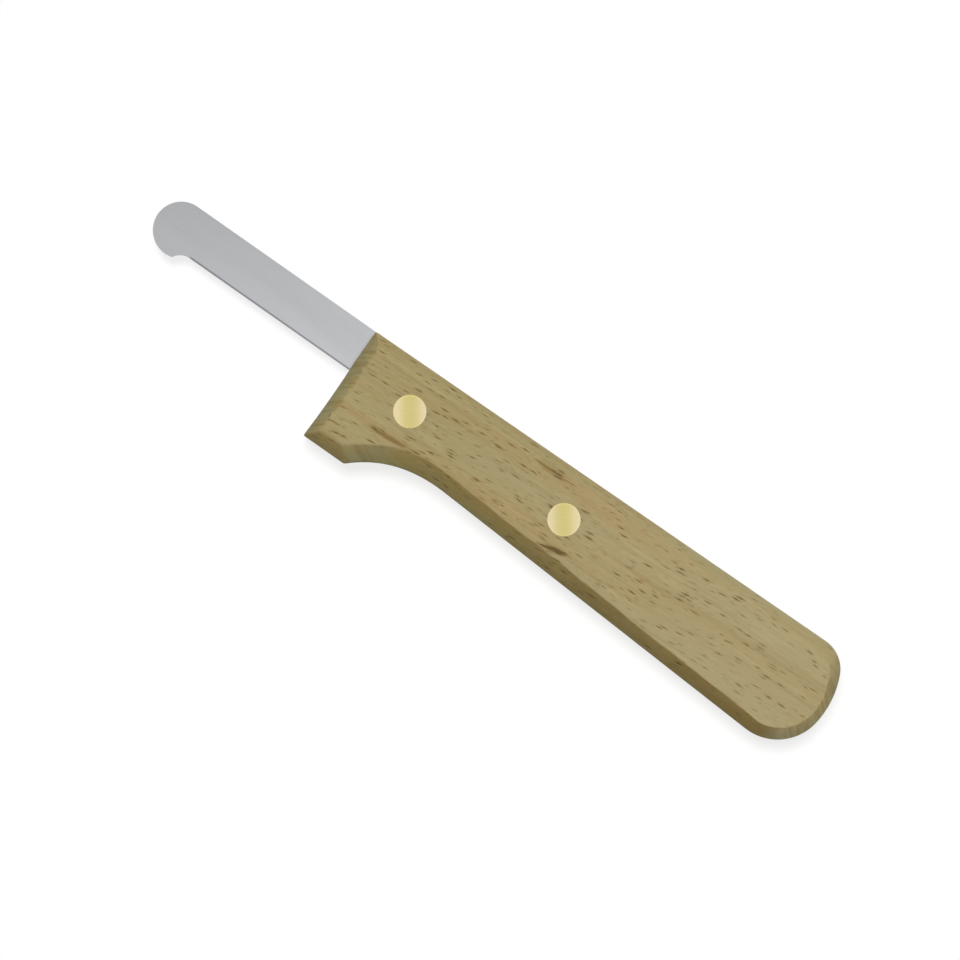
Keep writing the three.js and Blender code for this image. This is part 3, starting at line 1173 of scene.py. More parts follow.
@dataclass(frozen=True)
class RivetSizes:
    """Sizes that the rivets share with the holes in the handle and the tang."""

    head_radius: float = 3.35 * MM
    head_thickness: float = 1.6 * MM
    tube_radius: float = 2.2 * MM
    bore_radius: float = 1.6 * MM
    pin_end_gap: float = 1.0 * MM
    fit: float = FIT
    seat_gap: float = 0.1 * FIT
    crown: float = 0.16 * MM
    rim_width: float = 0.22 * MM
    rim_degrees: float = 32.0
    crease_degrees: float = 35.0
    crown_points: int = 20
    rim_points: int = 7
    sides: int = 128


def rivet_places() -> dict[str, Array]:
    """Finds the axes of both rivets from their solids.

    Returns:
        Centre in X and Y by the rivet's name.
    """
    places = {}
    for name in ("front_rivet", "rear_rivet"):
        low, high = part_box(f"{name}_pin")
        places[name] = np.array([(low.x + high.x) / 2.0, (low.y + high.y) / 2.0])
    return places


def drill_bits(sizes: RivetSizes, seats: bool) -> list[bpy.types.Object]:
    """Makes the solids that cut both rivet holes.

    Args:
        sizes: Sizes of the rivets.
        seats: True to sink a seat for the head in both sides of the handle too.

    Returns:
        One turned cutter for each rivet.
    """
    low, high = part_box("handle")
    hole = sizes.tube_radius + sizes.fit
    wide = sizes.head_radius + sizes.seat_gap if seats else hole
    depth = sizes.head_thickness + sizes.fit
    profile = np.array([
        (0.0, low.z - OVERCUT), (wide, low.z - OVERCUT), (wide, low.z + depth), (hole, low.z + depth),
        (hole, high.z - depth), (wide, high.z - depth), (wide, high.z + OVERCUT), (0.0, high.z + OVERCUT),
    ])
    return [revolve(f"{name}_bit", profile, place, sizes.sides) for name, place in rivet_places().items()]


@dataclass
class Rivet:
    """A cutlery rivet of two halves: a tube from below and a pin pressed into it from above.

    Its gleam is the direction in X and Y that the brushed heads draw the light out along.
    """

    name: str
    gleam: Span
    sizes: RivetSizes = field(default_factory=RivetSizes)

    def head(self, face: float, inward: float, flush: bool) -> Array:
        """Draws a head's profile from its crown to the edge of its inner face.

        The crown is the parabola crown (r / R)^2 below its top, and the rim an arc that steepens to the
        rim's angle; the edge of the rim lies in the handle's side, or the top does where it is flush.

        Args:
            face: Height of the handle's side.
            inward: +1 where the stem points up, -1 where it points down.
            flush: True to keep the top of the crown in the handle's side.

        Returns:
            Points (r, z) from the axis outwards and then inwards along the stem.
        """
        sizes = self.sizes
        r = np.linspace(0.0, sizes.head_radius - sizes.rim_width, sizes.crown_points)
        fall = sizes.crown * (r / sizes.head_radius) ** 2
        slope = 2.0 * sizes.crown * r[-1] / sizes.head_radius**2
        turn = np.linspace(math.atan(slope), math.radians(sizes.rim_degrees), sizes.rim_points)
        bend = sizes.rim_width / (math.sin(turn[-1]) - math.sin(turn[0]))
        rim_r = r[-1] + bend * (np.sin(turn[1:]) - math.sin(turn[0]))
        rim_fall = fall[-1] + bend * (math.cos(turn[0]) - np.cos(turn[1:]))
        top = face if flush else face - inward * rim_fall[-1]
        heights = top + inward * np.concatenate([fall, rim_fall])
        outer = np.stack([np.concatenate([r, rim_r]), heights], axis=1)
        return np.concatenate([outer, [(sizes.head_radius, face + inward * sizes.head_thickness)]])

    def build(self) -> list[bpy.types.Object]:
        """Makes both halves as turned pieces.

        Returns:
            The tube half and the pin half.
        """
        sizes = self.sizes
        low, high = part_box("handle")
        place = rivet_places()[self.name]
        floor = low.z + sizes.head_thickness
        rim = high.z - sizes.head_thickness - sizes.fit
        pin_radius = sizes.bore_radius - sizes.fit
        tip = floor + sizes.pin_end_gap
        tube_stem = [
            (sizes.tube_radius, floor), (sizes.tube_radius, rim), (sizes.bore_radius, rim),
            (sizes.bore_radius, floor), (0.0, floor),
        ]
        pin_stem = [(pin_radius, high.z - sizes.head_thickness), (pin_radius, tip), (0.0, tip)]
        tube_profile = np.concatenate([self.head(low.z, 1.0, flush=True), tube_stem])
        pin_profile = np.concatenate([self.head(high.z, -1.0, flush=False), pin_stem])
        halves = [
            revolve(f"{self.name}_tube_half", tube_profile, place, sizes.sides),
            revolve(f"{self.name}_pin_half", pin_profile, place, sizes.sides),
        ]
        for half in halves:
            shade(half, sizes.crease_degrees)
            planar_uv(half, place, self.gleam, sizes.head_radius)
        return halves

    def dress(self, halves: Sequence[bpy.types.Object], brass: bpy.types.Material, slot: str) -> None:
        """Gives both halves their finish and hands them over.

        Args:
            halves: The tube half and the pin half.
            brass: Finish of both.
            slot: Material slot of the record.
        """
        for half, part in zip(halves, ("tube", "pin")):
            half.data.materials.append(brass)
            hand_over(half, slot, f"{self.name}_{part}")


# Handle


@dataclass
class Side:
    """A straight side of an outline that runs counterclockwise."""

    start: Array
    end: Array

    def along(self) -> Array:
        """Direction of the side."""
        run = self.end - self.start
        return run / np.linalg.norm(run)

    def inward(self) -> Array:
        """Direction square to the side, into the handle."""
        x, y = self.along()
        return np.array([-y, x])

    def inset(self, distance: float) -> "Side":
        """The same side moved into the handle."""
        shift = self.inward() * distance
        return Side(self.start + shift, self.end + shift)

    def meet(self, other: "Side") -> Array:
        """Finds the point where two sides cross.

        Args:
            other: The other side.

        Returns:
            The crossing point.
        """
        matrix = np.stack([self.along(), -other.along()], axis=1)
        run = np.linalg.solve(matrix, other.start - self.start)
        return self.start + run[0] * self.along()


@dataclass
class Handle:
    """The one-piece beech handle: a chamfered blank with a saw slot and two rivet holes."""

    back_rise: float = 1.1 * MM
    guard_height: float = 25.6 * MM
    guard_length: float = 10.0 * MM
    scoop_degrees: float = 44.0
    scoop_end: float = 30.0 * MM
    neck_height: float = 18.7 * MM
    belly_height: float = 23.4 * MM
    butt_crown: float = 4.3 * MM
    butt_back_round: float = 6.9 * MM
    butt_belly_round: float = 10.6 * MM
    chamfer_depth: float = 2.5 * MM
    front_chamfer: float = 2.3 * MM
    guard_chamfer: float = 2.9 * MM
    scoop_chamfer: float = 3.6 * MM
    neck_chamfer: float = 3.4 * MM
    belly_chamfer: float = 2.7 * MM
    butt_chamfer: float = 1.9 * MM
    back_chamfer: float = 2.2 * MM
    flat_edge_round: float = 0.45 * MM
    worn_edge_round: float = 1.7 * MM
    worn_reach: Span = (6.0 * MM, 13.0 * MM)
    worn_back: Span = (1.5 * MM, 3.0 * MM)
    side_edge_round: float = 0.8 * MM
    flat_margin: float = 1.0 * MM
    corner_spread: float = 0.8
    corner_flare: float = 2.0 * MM
    front_hollow: float = 0.18 * MM
    hollow_start: float = 0.3
    sanding: float = 0.028
    long_waves: tuple[Triple, ...] = ((7.0, 1.0, 0.6), (17.0, 0.7, 2.1), (41.0, 0.5, 4.0))
    short_waves: tuple[Triple, ...] = ((97.0, 1.0, 1.0), (131.0, 0.6, 2.4))
    front_end: float = 2.0 * MM
    butt_end: float = 6.0 * MM
    crease_degrees: float = 40.0
    front_points: int = 80
    guard_points: int = 32
    scoop_points: int = 76
    belly_points: int = 220
    belly_round_points: int = 34
    butt_points: int = 30
    back_round_points: int = 26
    back_points: int = 300
    edge_points: int = 8
    wall_points: tuple[int, ...] = (3, 5, 12, 5, 3)
    slot_points: int = 60
    fit: float = FIT
    rivets: RivetSizes = field(default_factory=RivetSizes)

    def corner(self) -> Array:
        """Place of the handle's corner, where the back of the blade meets the front face."""
        low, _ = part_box("handle")
        return np.array([low.x, low.y + self.guard_height])

    def length(self) -> float:
        """Length from the front face to the end of the butt."""
        low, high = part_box("handle")
        return high.x - low.x

    def butt_circle(self) -> tuple[Array, float]:
        """Finds the circle of the butt's arc, through the back and the belly where the arc would end.

        Returns:
            Centre and radius.
        """
        chord = self.length() - self.butt_crown
        top = self.back_rise * chord / self.length()
        run = (chord - self.scoop_end) / (self.length() - self.scoop_end)
        foot = -self.neck_height - (self.belly_height - self.neck_height) * run
        half = (top - foot) / 2.0
        radius = (half**2 + self.butt_crown**2) / (2.0 * self.butt_crown)
        return np.array([self.length() - radius, (top + foot) / 2.0]), radius

    def butt_corner(
        self, side: Side, centre: Array, reach: float, radius: float, ahead: float
    ) -> tuple[Array, float, float]:
        """Fits a round into the corner between a side and the butt's circle.

        Args:
            side: Straight side that the round touches.
            centre: Centre of the butt's circle.
            reach: Radius of the butt's circle.
            radius: Radius of the round.
            ahead: +1 where the round lies ahead of the centre on the side's run, else -1.

        Returns:
            The round's centre, its angle at the side and its angle at the butt.
        """
        base = side.start + side.inward() * radius
        gap = centre - base
        half = math.sqrt((reach - radius) ** 2 - float(gap @ side.inward()) ** 2)
        middle = base + side.along() * (float(gap @ side.along()) + ahead * half)
        outward = -side.inward()
        side_angle = math.atan2(outward[1], outward[0])
        butt_angle = math.atan2(*(middle - centre)[::-1])
        return middle, side_angle, butt_angle

    def outline(self, share: float) -> Array:
        """Draws the handle from its side, with every side moved in by a share of its chamfer.

        The sides are straight, the scoop is a Bezier curve and the butt three arcs. The front face has
        a hollow of the form 4 t (1 - t). Each stretch has the same number of points whatever the
        share, so outlines can be joined point to point.

        Args:
            share: 0 for the full outline, 1 for the flat inside the chamfers.

        Returns:
            Closed outline, counterclockwise from the corner.
        """
        end = self.length()
        corner = np.zeros(2)
        guard_front = np.array([0.0, -self.guard_height])
        guard_rear = np.array([self.guard_length, -self.guard_height])
        scoop_end = np.array([self.scoop_end, -self.neck_height])
        tail_end = np.array([end, -self.belly_height])
        turn = math.radians(self.scoop_degrees)
        aim = guard_rear + self.guard_length * np.array([math.cos(turn), math.sin(turn)])

        front = Side(corner, guard_front).inset(share * self.front_chamfer)
        guard = Side(guard_front, guard_rear).inset(share * self.guard_chamfer)
        scoop = Side(guard_rear, aim).inset(share * self.scoop_chamfer)
        neck = Side(scoop_end, tail_end).inset(share * self.neck_chamfer)
        tail = Side(scoop_end, tail_end).inset(share * self.belly_chamfer)
        back = Side(np.array([end, self.back_rise]), corner).inset(share * self.back_chamfer)

        centre, radius = self.butt_circle()
        trim = share * self.butt_chamfer
        radius -= trim
        low_round = self.butt_belly_round - trim
        high_round = self.butt_back_round - trim + share * self.corner_flare
        low, low_side, low_butt = self.butt_corner(tail, centre, radius, low_round, 1.0)
        high, high_side, high_butt = self.butt_corner(back, centre, radius, high_round, -1.0)

        top_corner = back.meet(front)
        foot_corner = front.meet(guard)
        heel = guard.meet(scoop)
        low_arc = arc(low, low_round, low_side, low_butt, self.belly_round_points)
        high_arc = arc(high, high_round, high_butt, high_side, self.back_round_points)
        hollow = ramp(np.linspace(0.0, 1.0, self.front_points), self.hollow_start, 1.0)
        face = line(top_corner, foot_corner, self.front_points)
        face[:, 0] += self.front_hollow * 4.0 * hollow * (1.0 - hollow)
        stretches = [
            face,
            line(foot_corner, heel, self.guard_points),
            bezier(heel, scoop.meet(neck), neck.start, self.scoop_points),
            line(neck.start, low_arc[0], self.belly_points),
            low_arc,
            arc(centre, radius, low_butt, high_butt, self.butt_points),
            high_arc,
            line(high_arc[-1], top_corner, self.back_points),
        ]
        loop = np.concatenate([stretch[:-1] for stretch in stretches])
        return soften(loop, self.corner_spread) + self.corner()

    def section(self, edge_round: float) -> Array:
        """Draws the wall from the lower flat to the upper one.

        The four corners of the chamfers are rounded by arcs; along the wall the first number is the
        share of the chamfer that a ring is moved in by and the second its height.

        Args:
            edge_round: Radius between a flat and its chamfer.

        Returns:
            Points (share, height) from the lower flat to the upper flat, as many for any radius.
        """
        low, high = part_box("handle")
        depth = self.chamfer_depth
        width = (self.front_chamfer + self.belly_chamfer) / 2.0
        inner = width + self.flat_margin
        path = np.array([
            (inner, low.z), (width, low.z), (0.0, low.z + depth),
            (0.0, high.z - depth), (width, high.z), (inner, high.z),
        ])
        rounds = [edge_round, self.side_edge_round, self.side_edge_round, edge_round]
        corners = zip(path[:-2], path[1:-1], path[2:], rounds)
        arcs = [round_corner(*corner, self.edge_points) for corner in corners]
        stops = [path[:1], *arcs, path[-1:]]
        wall = [stops[0]]
        for start, end, count in zip(stops, stops[1:], self.wall_points):
            wall += [line(start[-1], end[0], count)[1:-1], end]
        points = np.concatenate(wall)
        return np.stack([points[:, 0] / width, points[:, 1]], axis=1)

    def wear(self, loop: Array) -> Array:
        """Tells how worn the edge of the flat is round the outline.

        Wear falls evenly from 1 to 0 behind the front face and, from the back, below the level of the
        corner. The greater of the two counts.

        Args:
            loop: The full outline.

        Returns:
            Shares from 0 to 1, of shape (n,).
        """
        behind = loop[:, 0] - self.corner()[0]
        below = self.corner()[1] - loop[:, 1]
        return np.maximum(ramp(behind, *self.worn_reach[::-1]), ramp(below, *self.worn_back[::-1]))

    def sanded(self, loop: Array) -> Array:
        """Varies the chamfers' width a little along the outline, as sanding by hand does.

        The factor is 1 plus a few sine waves of the distance along the outline. On the two ends, which
        are end grain, the waves are twice as strong and short ones join them.

        Args:
            loop: The full outline.

        Returns:
            Factors of shape (n, 1).
        """
        steps = np.linalg.norm(np.diff(loop, axis=0, append=loop[:1]), axis=1)
        run = np.cumsum(steps) / steps.sum() * 2.0 * np.pi
        behind = loop[:, 0] - self.corner()[0]
        end = ramp(behind, self.front_end, 0.0) + ramp(behind, self.length() - self.butt_end, self.length())
        long, short = ripple(run, self.long_waves), ripple(run, self.short_waves)
        return (1.0 + self.sanding * (long * (1.0 + end) + short * end))[:, None]

    def build(self) -> bpy.types.Object:
        """Makes the blank as a surface round the outline and across the wall, then cuts it.

        Each point is full + share (flat - full) at the wall's height, for every place round the
        outline and every place across the wall. The wall eases from the crisp section to the worn one,
        and both flats are closed by one face.

        Returns:
            The finished handle.
        """
        full, flat = self.outline(0.0), self.outline(1.0)
        crisp, worn = self.section(self.flat_edge_round), self.section(self.worn_edge_round)
        wall = crisp[:, None] + self.wear(full)[None, :, None] * (worn - crisp)[:, None]
        rings = full[None] + wall[..., :1] * ((flat - full) * self.sanded(full))[None]
        piece = tube("beech_handle", np.concatenate([rings, wall[..., 1:]], axis=-1))
        cut(piece, [self.slot_cutter(), *drill_bits(self.rivets, seats=True)])
        shade(piece, self.crease_degrees)
        return piece

    def slot_cutter(self) -> bpy.types.Object:
        """Makes the solid that cuts the saw slot, open at the front face and along the back.

        Its rear end is the saw's arc, which just clears the end of the tang.

        Returns:
            The cutter.
        """
        tang = Tang()
        centre = tang.saw_centre()
        radius = tang.saw_radius
        foot = centre[1] - radius
        top = self.corner()[1] + self.back_rise + OVERCUT
        front = self.corner()[0] - OVERCUT
        stop = math.asin((top - centre[1]) / radius)
        rear = arc(centre, radius, -math.pi / 2.0, stop, self.slot_points)
        outline = np.concatenate([[(front, top), (front, foot)], rear])
        low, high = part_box("blade")
        return prism("saw_slot", outline, low.z - self.fit, high.z + self.fit)

    def dress(self, piece: bpy.types.Object, finish: BeechFinish) -> None:
        """Gives the handle its finish and hands it over.

        Args:
            piece: The handle.
            finish: Its finish.
        """
        piece.data.materials.append(finish.material(self.corner()))
        hand_over(piece, finish.slot, "handle")


# Blade


@dataclass
class Tang:
    """Sizes of the half tang, and of the saw that cuts the slot round it."""

    saw_radius: float = 22.0 * MM
    land: float = 3.0 * MM
    fit: float = FIT
    shoulder: float = 0.3 * MM
    rivets: RivetSizes = field(default_factory=RivetSizes)

    def foot(self) -> float:
        """Height in Y of the tang's lower edge."""
        return rivet_places()["rear_rivet"][1] - self.rivets.tube_radius - self.rivets.fit - self.land

    def saw_centre(self) -> Array:
        """Place of the saw's centre, over the rear rivet."""
        return np.array([rivet_places()["rear_rivet"][0], self.foot() - self.fit + self.saw_radius])


@dataclass
class Blade:
    """The stamped blade with its button tip and half tang."""

    height: float = 9.5 * MM
    button_drop: float = 2.1 * MM
    notch_radius: float = 3.5 * MM
    notch_degrees: float = 15.5
    back_land: float = 0.6 * MM
    tip_thickness: float = 0.4 * MM
    bevel: float = 0.4 * MM
    edge_width: float = 0.06 * MM
    rim_round: float = 0.12 * MM
    crease_degrees: float = 14.0
    nose_points: int = 60
    hollow_points: int = 24
    edge_points: int = 90
    tang_points: int = 60
    tang_end_points: int = 40
    rim_points: int = 6
    side_points: int = 30
    bevel_points: int = 5
    cusp_gap: float = 1e-6
    shoulder_gap: float = 1e-7
    rivets: RivetSizes = field(default_factory=RivetSizes)
    tang: Tang = field(default_factory=Tang)
    handle: Handle = field(default_factory=Handle)

    def tip(self) -> tuple[Array, float]:
        """Finds the circle of the button, which touches the back.

        Returns:
            Centre and radius.
        """
        radius = (self.height + self.button_drop) / 2.0
        low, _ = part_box("blade")
        return np.array([low.x + radius, self.handle.corner()[1] - radius]), radius

    def notch(self) -> tuple[Array, Array]:
        """Finds the hollow between the button and the edge.

        Returns:
            The cusp where the hollow meets the button, and the hollow's centre.
        """
        centre, radius = self.tip()
        angle = math.radians(270.0 + self.notch_degrees)
        cusp = centre + radius * np.array([math.cos(angle), math.sin(angle)])
        y = self.handle.corner()[1] - self.height - self.notch_radius
        x = cusp[0] + math.sqrt(self.notch_radius**2 - (cusp[1] - y) ** 2)
        return cusp, np.array([x, y])

    def columns(self) -> Array:
        """Places the grid's columns along the blade and the tang.

        Columns crowd at the tip, the hollow and the rear of the tang, where the outline turns, and two
        stand at the tang's shoulder, where it steps down.

        Returns:
            Places in X, from the tip to the end of the tang.
        """
        centre, radius = self.tip()
        cusp, notch = self.notch()
        heel = self.handle.corner()[0]
        turn = np.linspace(math.pi, math.pi / 2.0, self.nose_points)
        nose = centre[0] + radius * np.cos(turn)
        nose = np.append(nose[nose < cusp[0] - self.cusp_gap], cusp[0])
        hollow = np.linspace(cusp[0], notch[0], self.hollow_points)[1:]
        edge = np.linspace(notch[0], heel - self.tang.fit, self.edge_points)[1:]
        shoulder = heel + self.tang.shoulder
        straight = np.linspace(shoulder, self.tang.saw_centre()[0], self.tang_points)
        turn = np.linspace(0.0, math.pi / 2.0, self.tang_end_points)[1:]
        rear = straight[-1] + (self.tang_end() - straight[-1]) * np.sin(turn)
        return np.concatenate([nose, hollow, edge, [heel, shoulder - self.shoulder_gap], straight, rear])

    def back(self, x: Array) -> Array:
        """Height of the back at each place along the knife.

        It is the button's circle, then the straight back, which rises along the handle.

        Args:
            x: Places along the knife.

        Returns:
            Heights in Y.
        """
        centre, radius = self.tip()
        corner = self.handle.corner()
        slope = self.handle.back_rise / self.handle.length()
        straight = corner[1] + np.maximum(0.0, x - corner[0]) * slope
        return np.where(x < centre[0], centre[1] + half_chord(radius, x - centre[0]), straight)

    def tang_end(self) -> float:
        """Finds where the tang's round end reaches the back.

        It is the far crossing of the saw's circle, less the fit, with the line of the back.

        Returns:
            The place in X.
        """
        corner = self.handle.corner()
        saw = self.tang.saw_centre() - corner
        slope = np.array([self.handle.length(), self.handle.back_rise])
        slope /= np.linalg.norm(slope)
        rim = self.tang.saw_radius - self.tang.fit
        off = slope[0] * saw[1] - slope[1] * saw[0]
        run = float(saw @ slope) + math.sqrt(rim**2 - off**2)
        return corner[0] + run * slope[0]

    def foot(self, x: Array) -> Array:
        """Height of the lower edge at each place along the knife.

        It is the button's circle, then the hollow's arc, the cutting edge, the tang's foot and last
        the saw's arc.

        Args:
            x: Places along the knife.

        Returns:
            Heights in Y.
        """
        centre, radius = self.tip()
        cusp, notch = self.notch()
        corner = self.handle.corner()
        saw = self.tang.saw_centre()
        rim = self.tang.saw_radius - self.tang.fit
        button = centre[1] - half_chord(radius, x - centre[0])
        hollow = notch[1] + half_chord(self.notch_radius, x - notch[0])
        edge = np.full_like(x, corner[1] - self.height)
        sawn = saw[1] - half_chord(rim, np.maximum(0.0, x - saw[0]))
        shoulder = corner[0] + self.tang.shoulder
        stretches = [x <= cusp[0], x <= notch[0], x < shoulder]
        return np.select(stretches, [button, hollow, edge], sawn)

    def rows(self) -> Array:
        """Places the grid's rows as shares of the way from the back to the lower edge.

        Rows crowd at the back, for its rounded rim, and at the honed bevel.

        Returns:
            Shares from 0 to 1.
        """
        turn = np.linspace(0.0, math.pi / 2.0, self.rim_points)
        rim = self.rim_round / self.height * (1.0 - np.cos(turn))
        land = self.back_land / self.height
        hone = 1.0 - self.bevel / self.height
        side = np.linspace(land, hone, self.side_points)
        return np.concatenate([rim, side, np.linspace(hone, 1.0, self.bevel_points)[1:]])

    def ground(self, depth: Array | float) -> Array | float:
        """Half of the steel's thickness that the flat grind leaves.

        It tapers evenly from the full sheet at the land to the tip's thickness at the button's lowest
        point.

        Args:
            depth: Distances below the back.

        Returns:
            Half thicknesses.
        """
        low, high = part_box("blade")
        sheet = high.z - low.z
        taper = ramp(depth, self.back_land, self.height + self.button_drop)
        return (sheet + (self.tip_thickness - sheet) * taper) / 2.0

    def half_thickness(self, x: Array, y: Array) -> Array:
        """Half of the steel's thickness at each point.

        The blade is ground flat, the honed bevel cuts a steeper wedge off the edge, the tang keeps the
        full sheet, and the rim is rounded as a quarter circle.

        Args:
            x: Places along the knife.
            y: Heights in Y.

        Returns:
            Half thicknesses.
        """
        low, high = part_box("blade")
        corner = self.handle.corner()
        _, notch = self.notch()
        above = self.height - (corner[1] - y)
        half_edge = self.edge_width / 2.0
        ground = self.ground(self.height - above)
        wedge = half_edge + (self.ground(self.height - self.bevel) - half_edge) * above / self.bevel
        honed = (x > notch[0]) & (x < corner[0]) & (above < self.bevel)
        blade = np.where(honed, np.minimum(ground, wedge), ground)
        thick = np.where(x < corner[0], blade, (high.z - low.z) / 2.0)
        centre, radius = self.tip()
        nose = radius - np.hypot(x - centre[0], y - centre[1])
        inside = ramp(np.where(x < centre[0], nose, self.back(x) - y), 0.0, self.rim_round)
        rounded = self.rim_round * (1.0 - half_chord(1.0, 1.0 - inside))
        return np.maximum(thick - rounded, half_edge)

    def build(self) -> bpy.types.Object:
        """Makes the blade and its tang as one grid, column by column and row by row.

        Point (column, row) lies at back + share (foot - back) in Y, half a thickness above and below
        the middle plane. The two sheets are joined round their rims.

        Returns:
            The finished blade.
        """
        low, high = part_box("blade")
        middle = (low.z + high.z) / 2.0
        x = self.columns()[:, None]
        back, foot = self.back(x), self.foot(x)
        y = back + self.rows()[None, :] * (foot - back)
        x = np.broadcast_to(x, y.shape)
        half = self.half_thickness(x, y)
        upper = np.stack([x, y, middle + half], axis=-1)
        lower = np.stack([x, y, middle - half], axis=-1)[:, ::-1]
        piece = tube("satin_blade", np.concatenate([upper, lower], axis=1))
        cut(piece, drill_bits(self.rivets, seats=False))
        shade(piece, self.crease_degrees)
        return piece

    def dress(self, piece: bpy.types.Object, finish: SteelFinish) -> None:
        """Gives the blade its finish and hands it over.

        Args:
            piece: The blade.
            finish: Its finish.
        """
        _, notch = self.notch()
        edge = np.array([notch[0], self.handle.corner()[1] - self.height])
        piece.data.materials.append(finish.material(edge, self.bevel))
        hand_over(piece, finish.slot, "blade")


# Studio


class Reach(Enum):
    """Whether a lamp lights only one piece, or all but that piece."""

    ONLY = "INCLUDE"
    ALL_BUT = "EXCLUDE"


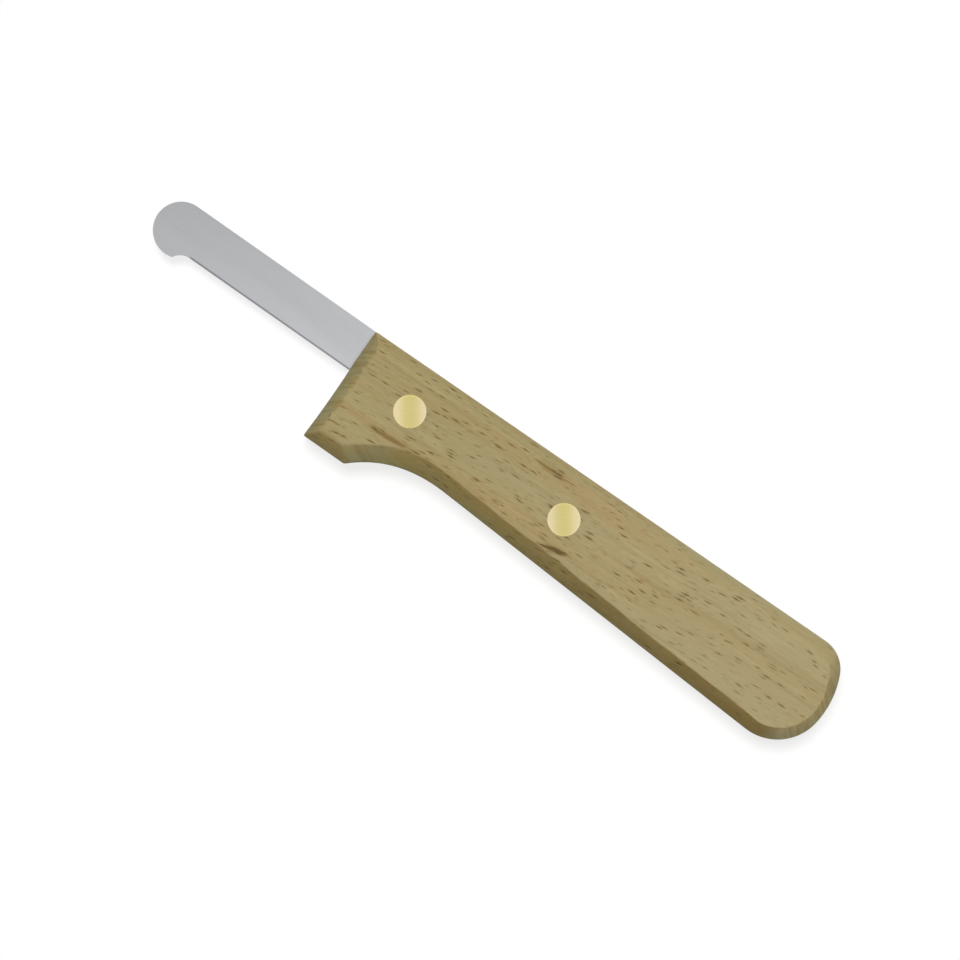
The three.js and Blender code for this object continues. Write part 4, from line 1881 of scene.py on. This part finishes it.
@dataclass
class Studio:
    """Plain pale floor, soft light from the knife's back, and a camera straight overhead."""

    photo_pixels: float = 960.0
    pixels_per_metre: float = 4950.0
    photo_turn_degrees: float = 35.05
    photo_centre: Span = (0.23 * MM, -0.19 * MM)
    camera_height: float = 1.5
    camera_reach: float = 20.0
    sensor: float = 36.0
    outline_height: float = 12.5 * MM
    floor_half: float = 4.0
    floor_drop: float = 0.02 * MM
    key_power: float = 16.2
    key_size: float = 1.3
    key_distance: float = 1.1
    key_elevation_degrees: float = 60.0
    ambient: float = 0.09
    ambient_colour: Colour = (1.0, 0.98, 0.94)
    key_colour: Colour = (0.975, 1.0, 1.06)
    floor_colour: Colour = (0.75, 0.74, 0.70)
    gap_colour: Colour = (0.785, 0.785, 0.785)
    gap_width: Span = (0.16, 0.045)
    gap_height: Span = (0.35, 0.80)
    side_colour: Colour = (0.98, 0.98, 1.0)
    shadow_share: float = 0.20
    shadow_power: float = 2.95
    shadow_tilt_degrees: float = 11.0
    shadow_spread_degrees: float = 14.0
    shadow_turn_degrees: float = 44.0

    def upright(self) -> Span:
        """Direction on the knife that stands upright in the picture."""
        turn = math.radians(self.photo_turn_degrees)
        return (-math.sin(turn), math.cos(turn))

    def camera(self) -> None:
        """Looks straight down with the knife turned as in the picture."""
        data = bpy.data.cameras.new("overhead_camera")
        data.type = "PERSP"
        data.sensor_width = self.sensor
        field_width = self.photo_pixels / self.pixels_per_metre
        data.lens = self.sensor * self.camera_height / field_width
        data.clip_end = self.camera_reach
        eye = bpy.data.objects.new("overhead_camera", data)
        eye.location = (*self.photo_centre, self.camera_height + self.outline_height)
        eye.rotation_euler = (0.0, 0.0, math.radians(self.photo_turn_degrees))
        bpy.context.scene.collection.objects.link(eye)
        bpy.context.scene.camera = eye

    def floor(self) -> bpy.types.Object:
        """Lays a pale floor that looks white and keeps a light shadow.

        Returns:
            The floor.
        """
        side = np.linspace(-self.floor_half, self.floor_half, 2)
        x, y = np.meshgrid(side, side, indexing="ij")
        points = np.stack([x, y, np.full_like(x, -self.floor_drop)], axis=-1)
        piece = make_piece("studio_floor", points, grid_faces(2, 2, around=False))
        material, g = new_material("pale_floor")
        paint = g.node("ShaderNodeBsdfDiffuse", {"Color": self.floor_colour}).outputs["BSDF"]
        white = g.node("ShaderNodeEmission", {"Color": WHITE, "Strength": 1.0}).outputs["Emission"]
        shaded = g.node("ShaderNodeBsdfDiffuse", {"Color": WHITE}).outputs["BSDF"]
        g.finish(g.either(self.seen(g), paint, g.either(self.shadow_share, white, shaded)))
        piece.data.materials.append(material)
        return piece

    def seen(self, g: Graph) -> Socket:
        """Tells whether a ray shows the surroundings: from the camera, off metal or through glass.

        Args:
            g: Graph of the surroundings.

        Returns:
            1 for such a ray and else 0.
        """
        path = g.node("ShaderNodeLightPath")
        direct = g.math("MAXIMUM", path.outputs["Is Camera Ray"], path.outputs["Is Glossy Ray"])
        return g.math("MAXIMUM", direct, path.outputs["Is Transmission Ray"])

    def world(self) -> None:
        """Surrounds the knife with even light, and with white where the camera or metal sees past it.

        Overhead, a greyer gap runs upright in the picture, which metal shows as a band.
        """
        world = bpy.data.worlds.new("studio_world")
        world.use_nodes = True
        bpy.context.scene.world = world
        g = Graph(world.node_tree)
        glow = {"Color": self.ambient_colour, "Strength": self.ambient}
        even = g.node("ShaderNodeBackground", glow).outputs[0]
        ray = g.node("ShaderNodeTexCoord").outputs["Generated"]
        turn = math.radians(self.photo_turn_degrees)
        across = (math.cos(turn), math.sin(turn), 0.0)
        off = g.math("ABSOLUTE", g.vector("DOT_PRODUCT", ray, across))
        high = g.step(g.parts(ray)["Z"], self.gap_height)
        gap = g.math("MULTIPLY", g.step(off, self.gap_width), high)
        sky = g.mix(gap, self.side_colour, self.gap_colour)
        white = g.node("ShaderNodeBackground", {"Color": sky, "Strength": 1.0}).outputs[0]
        g.finish(g.either(self.seen(g), even, white), "ShaderNodeOutputWorld")

    def key(self, floor: bpy.types.Object) -> None:
        """Hangs a large soft lamp on the side of the knife's back.

        Args:
            floor: The floor, which has a lamp of its own.
        """
        data = bpy.data.lights.new("key_lamp", "AREA")
        data.shape = "SQUARE"
        data.size = self.key_size
        data.energy = self.key_power
        data.color = self.key_colour
        lamp = bpy.data.objects.new("key_lamp", data)
        tilt = math.radians(90.0 - self.key_elevation_degrees)
        lamp.location = (0.0, self.key_distance * math.sin(tilt), self.key_distance * math.cos(tilt))
        lamp.rotation_euler = (-tilt, 0.0, 0.0)
        lamp.visible_camera = False
        lamp.visible_glossy = False
        self.aim(lamp, floor, Reach.ALL_BUT)

    def shadow(self, floor: bpy.types.Object) -> None:
        """Hangs a lamp that lights the floor alone, so that a thin soft shadow falls down the picture.

        Args:
            floor: The floor.
        """
        data = bpy.data.lights.new("shadow_lamp", "SUN")
        data.energy = self.shadow_power
        data.angle = math.radians(self.shadow_spread_degrees)
        lamp = bpy.data.objects.new("shadow_lamp", data)
        lamp.location = (0.0, 0.0, self.key_distance)
        tilt = math.radians(self.shadow_tilt_degrees)
        lamp.rotation_euler = (-tilt, 0.0, math.radians(self.shadow_turn_degrees))
        self.aim(lamp, floor, Reach.ONLY)

    def aim(self, lamp: bpy.types.Object, piece: bpy.types.Object, reach: Reach) -> None:
        """Puts a lamp into the scene and says what it lights.

        Args:
            lamp: The lamp.
            piece: The piece that it lights, or leaves out.
            reach: Which of the two.
        """
        lit = bpy.data.collections.new(f"{lamp.name}_reach")
        lit.objects.link(piece)
        lit.collection_objects[0].light_linking.link_state = reach.value
        lamp.light_linking.receiver_collection = lit
        bpy.context.scene.collection.objects.link(lamp)

    def build(self) -> None:
        """Sets up the view, the floor and the light."""
        bpy.context.scene.view_settings.view_transform = "Standard"
        self.camera()
        floor = self.floor()
        self.world()
        self.key(floor)
        self.shadow(floor)
        log.info("studio ready")


def main() -> None:
    """Builds the studio, then the knife piece by piece."""
    logging.basicConfig(level=logging.INFO, format="%(name)s: %(message)s")
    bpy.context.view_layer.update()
    studio = Studio()
    studio.build()

    handle = Handle()
    handle.dress(handle.build(), BeechFinish())
    blade = Blade(handle=handle)
    blade.dress(blade.build(), SteelFinish())
    brass_finish = BrassFinish()
    brass = brass_finish.material()
    for name in rivet_places():
        rivet = Rivet(name, studio.upright())
        rivet.dress(rivet.build(), brass, brass_finish.slot)


if __name__ == "__main__":
    main()
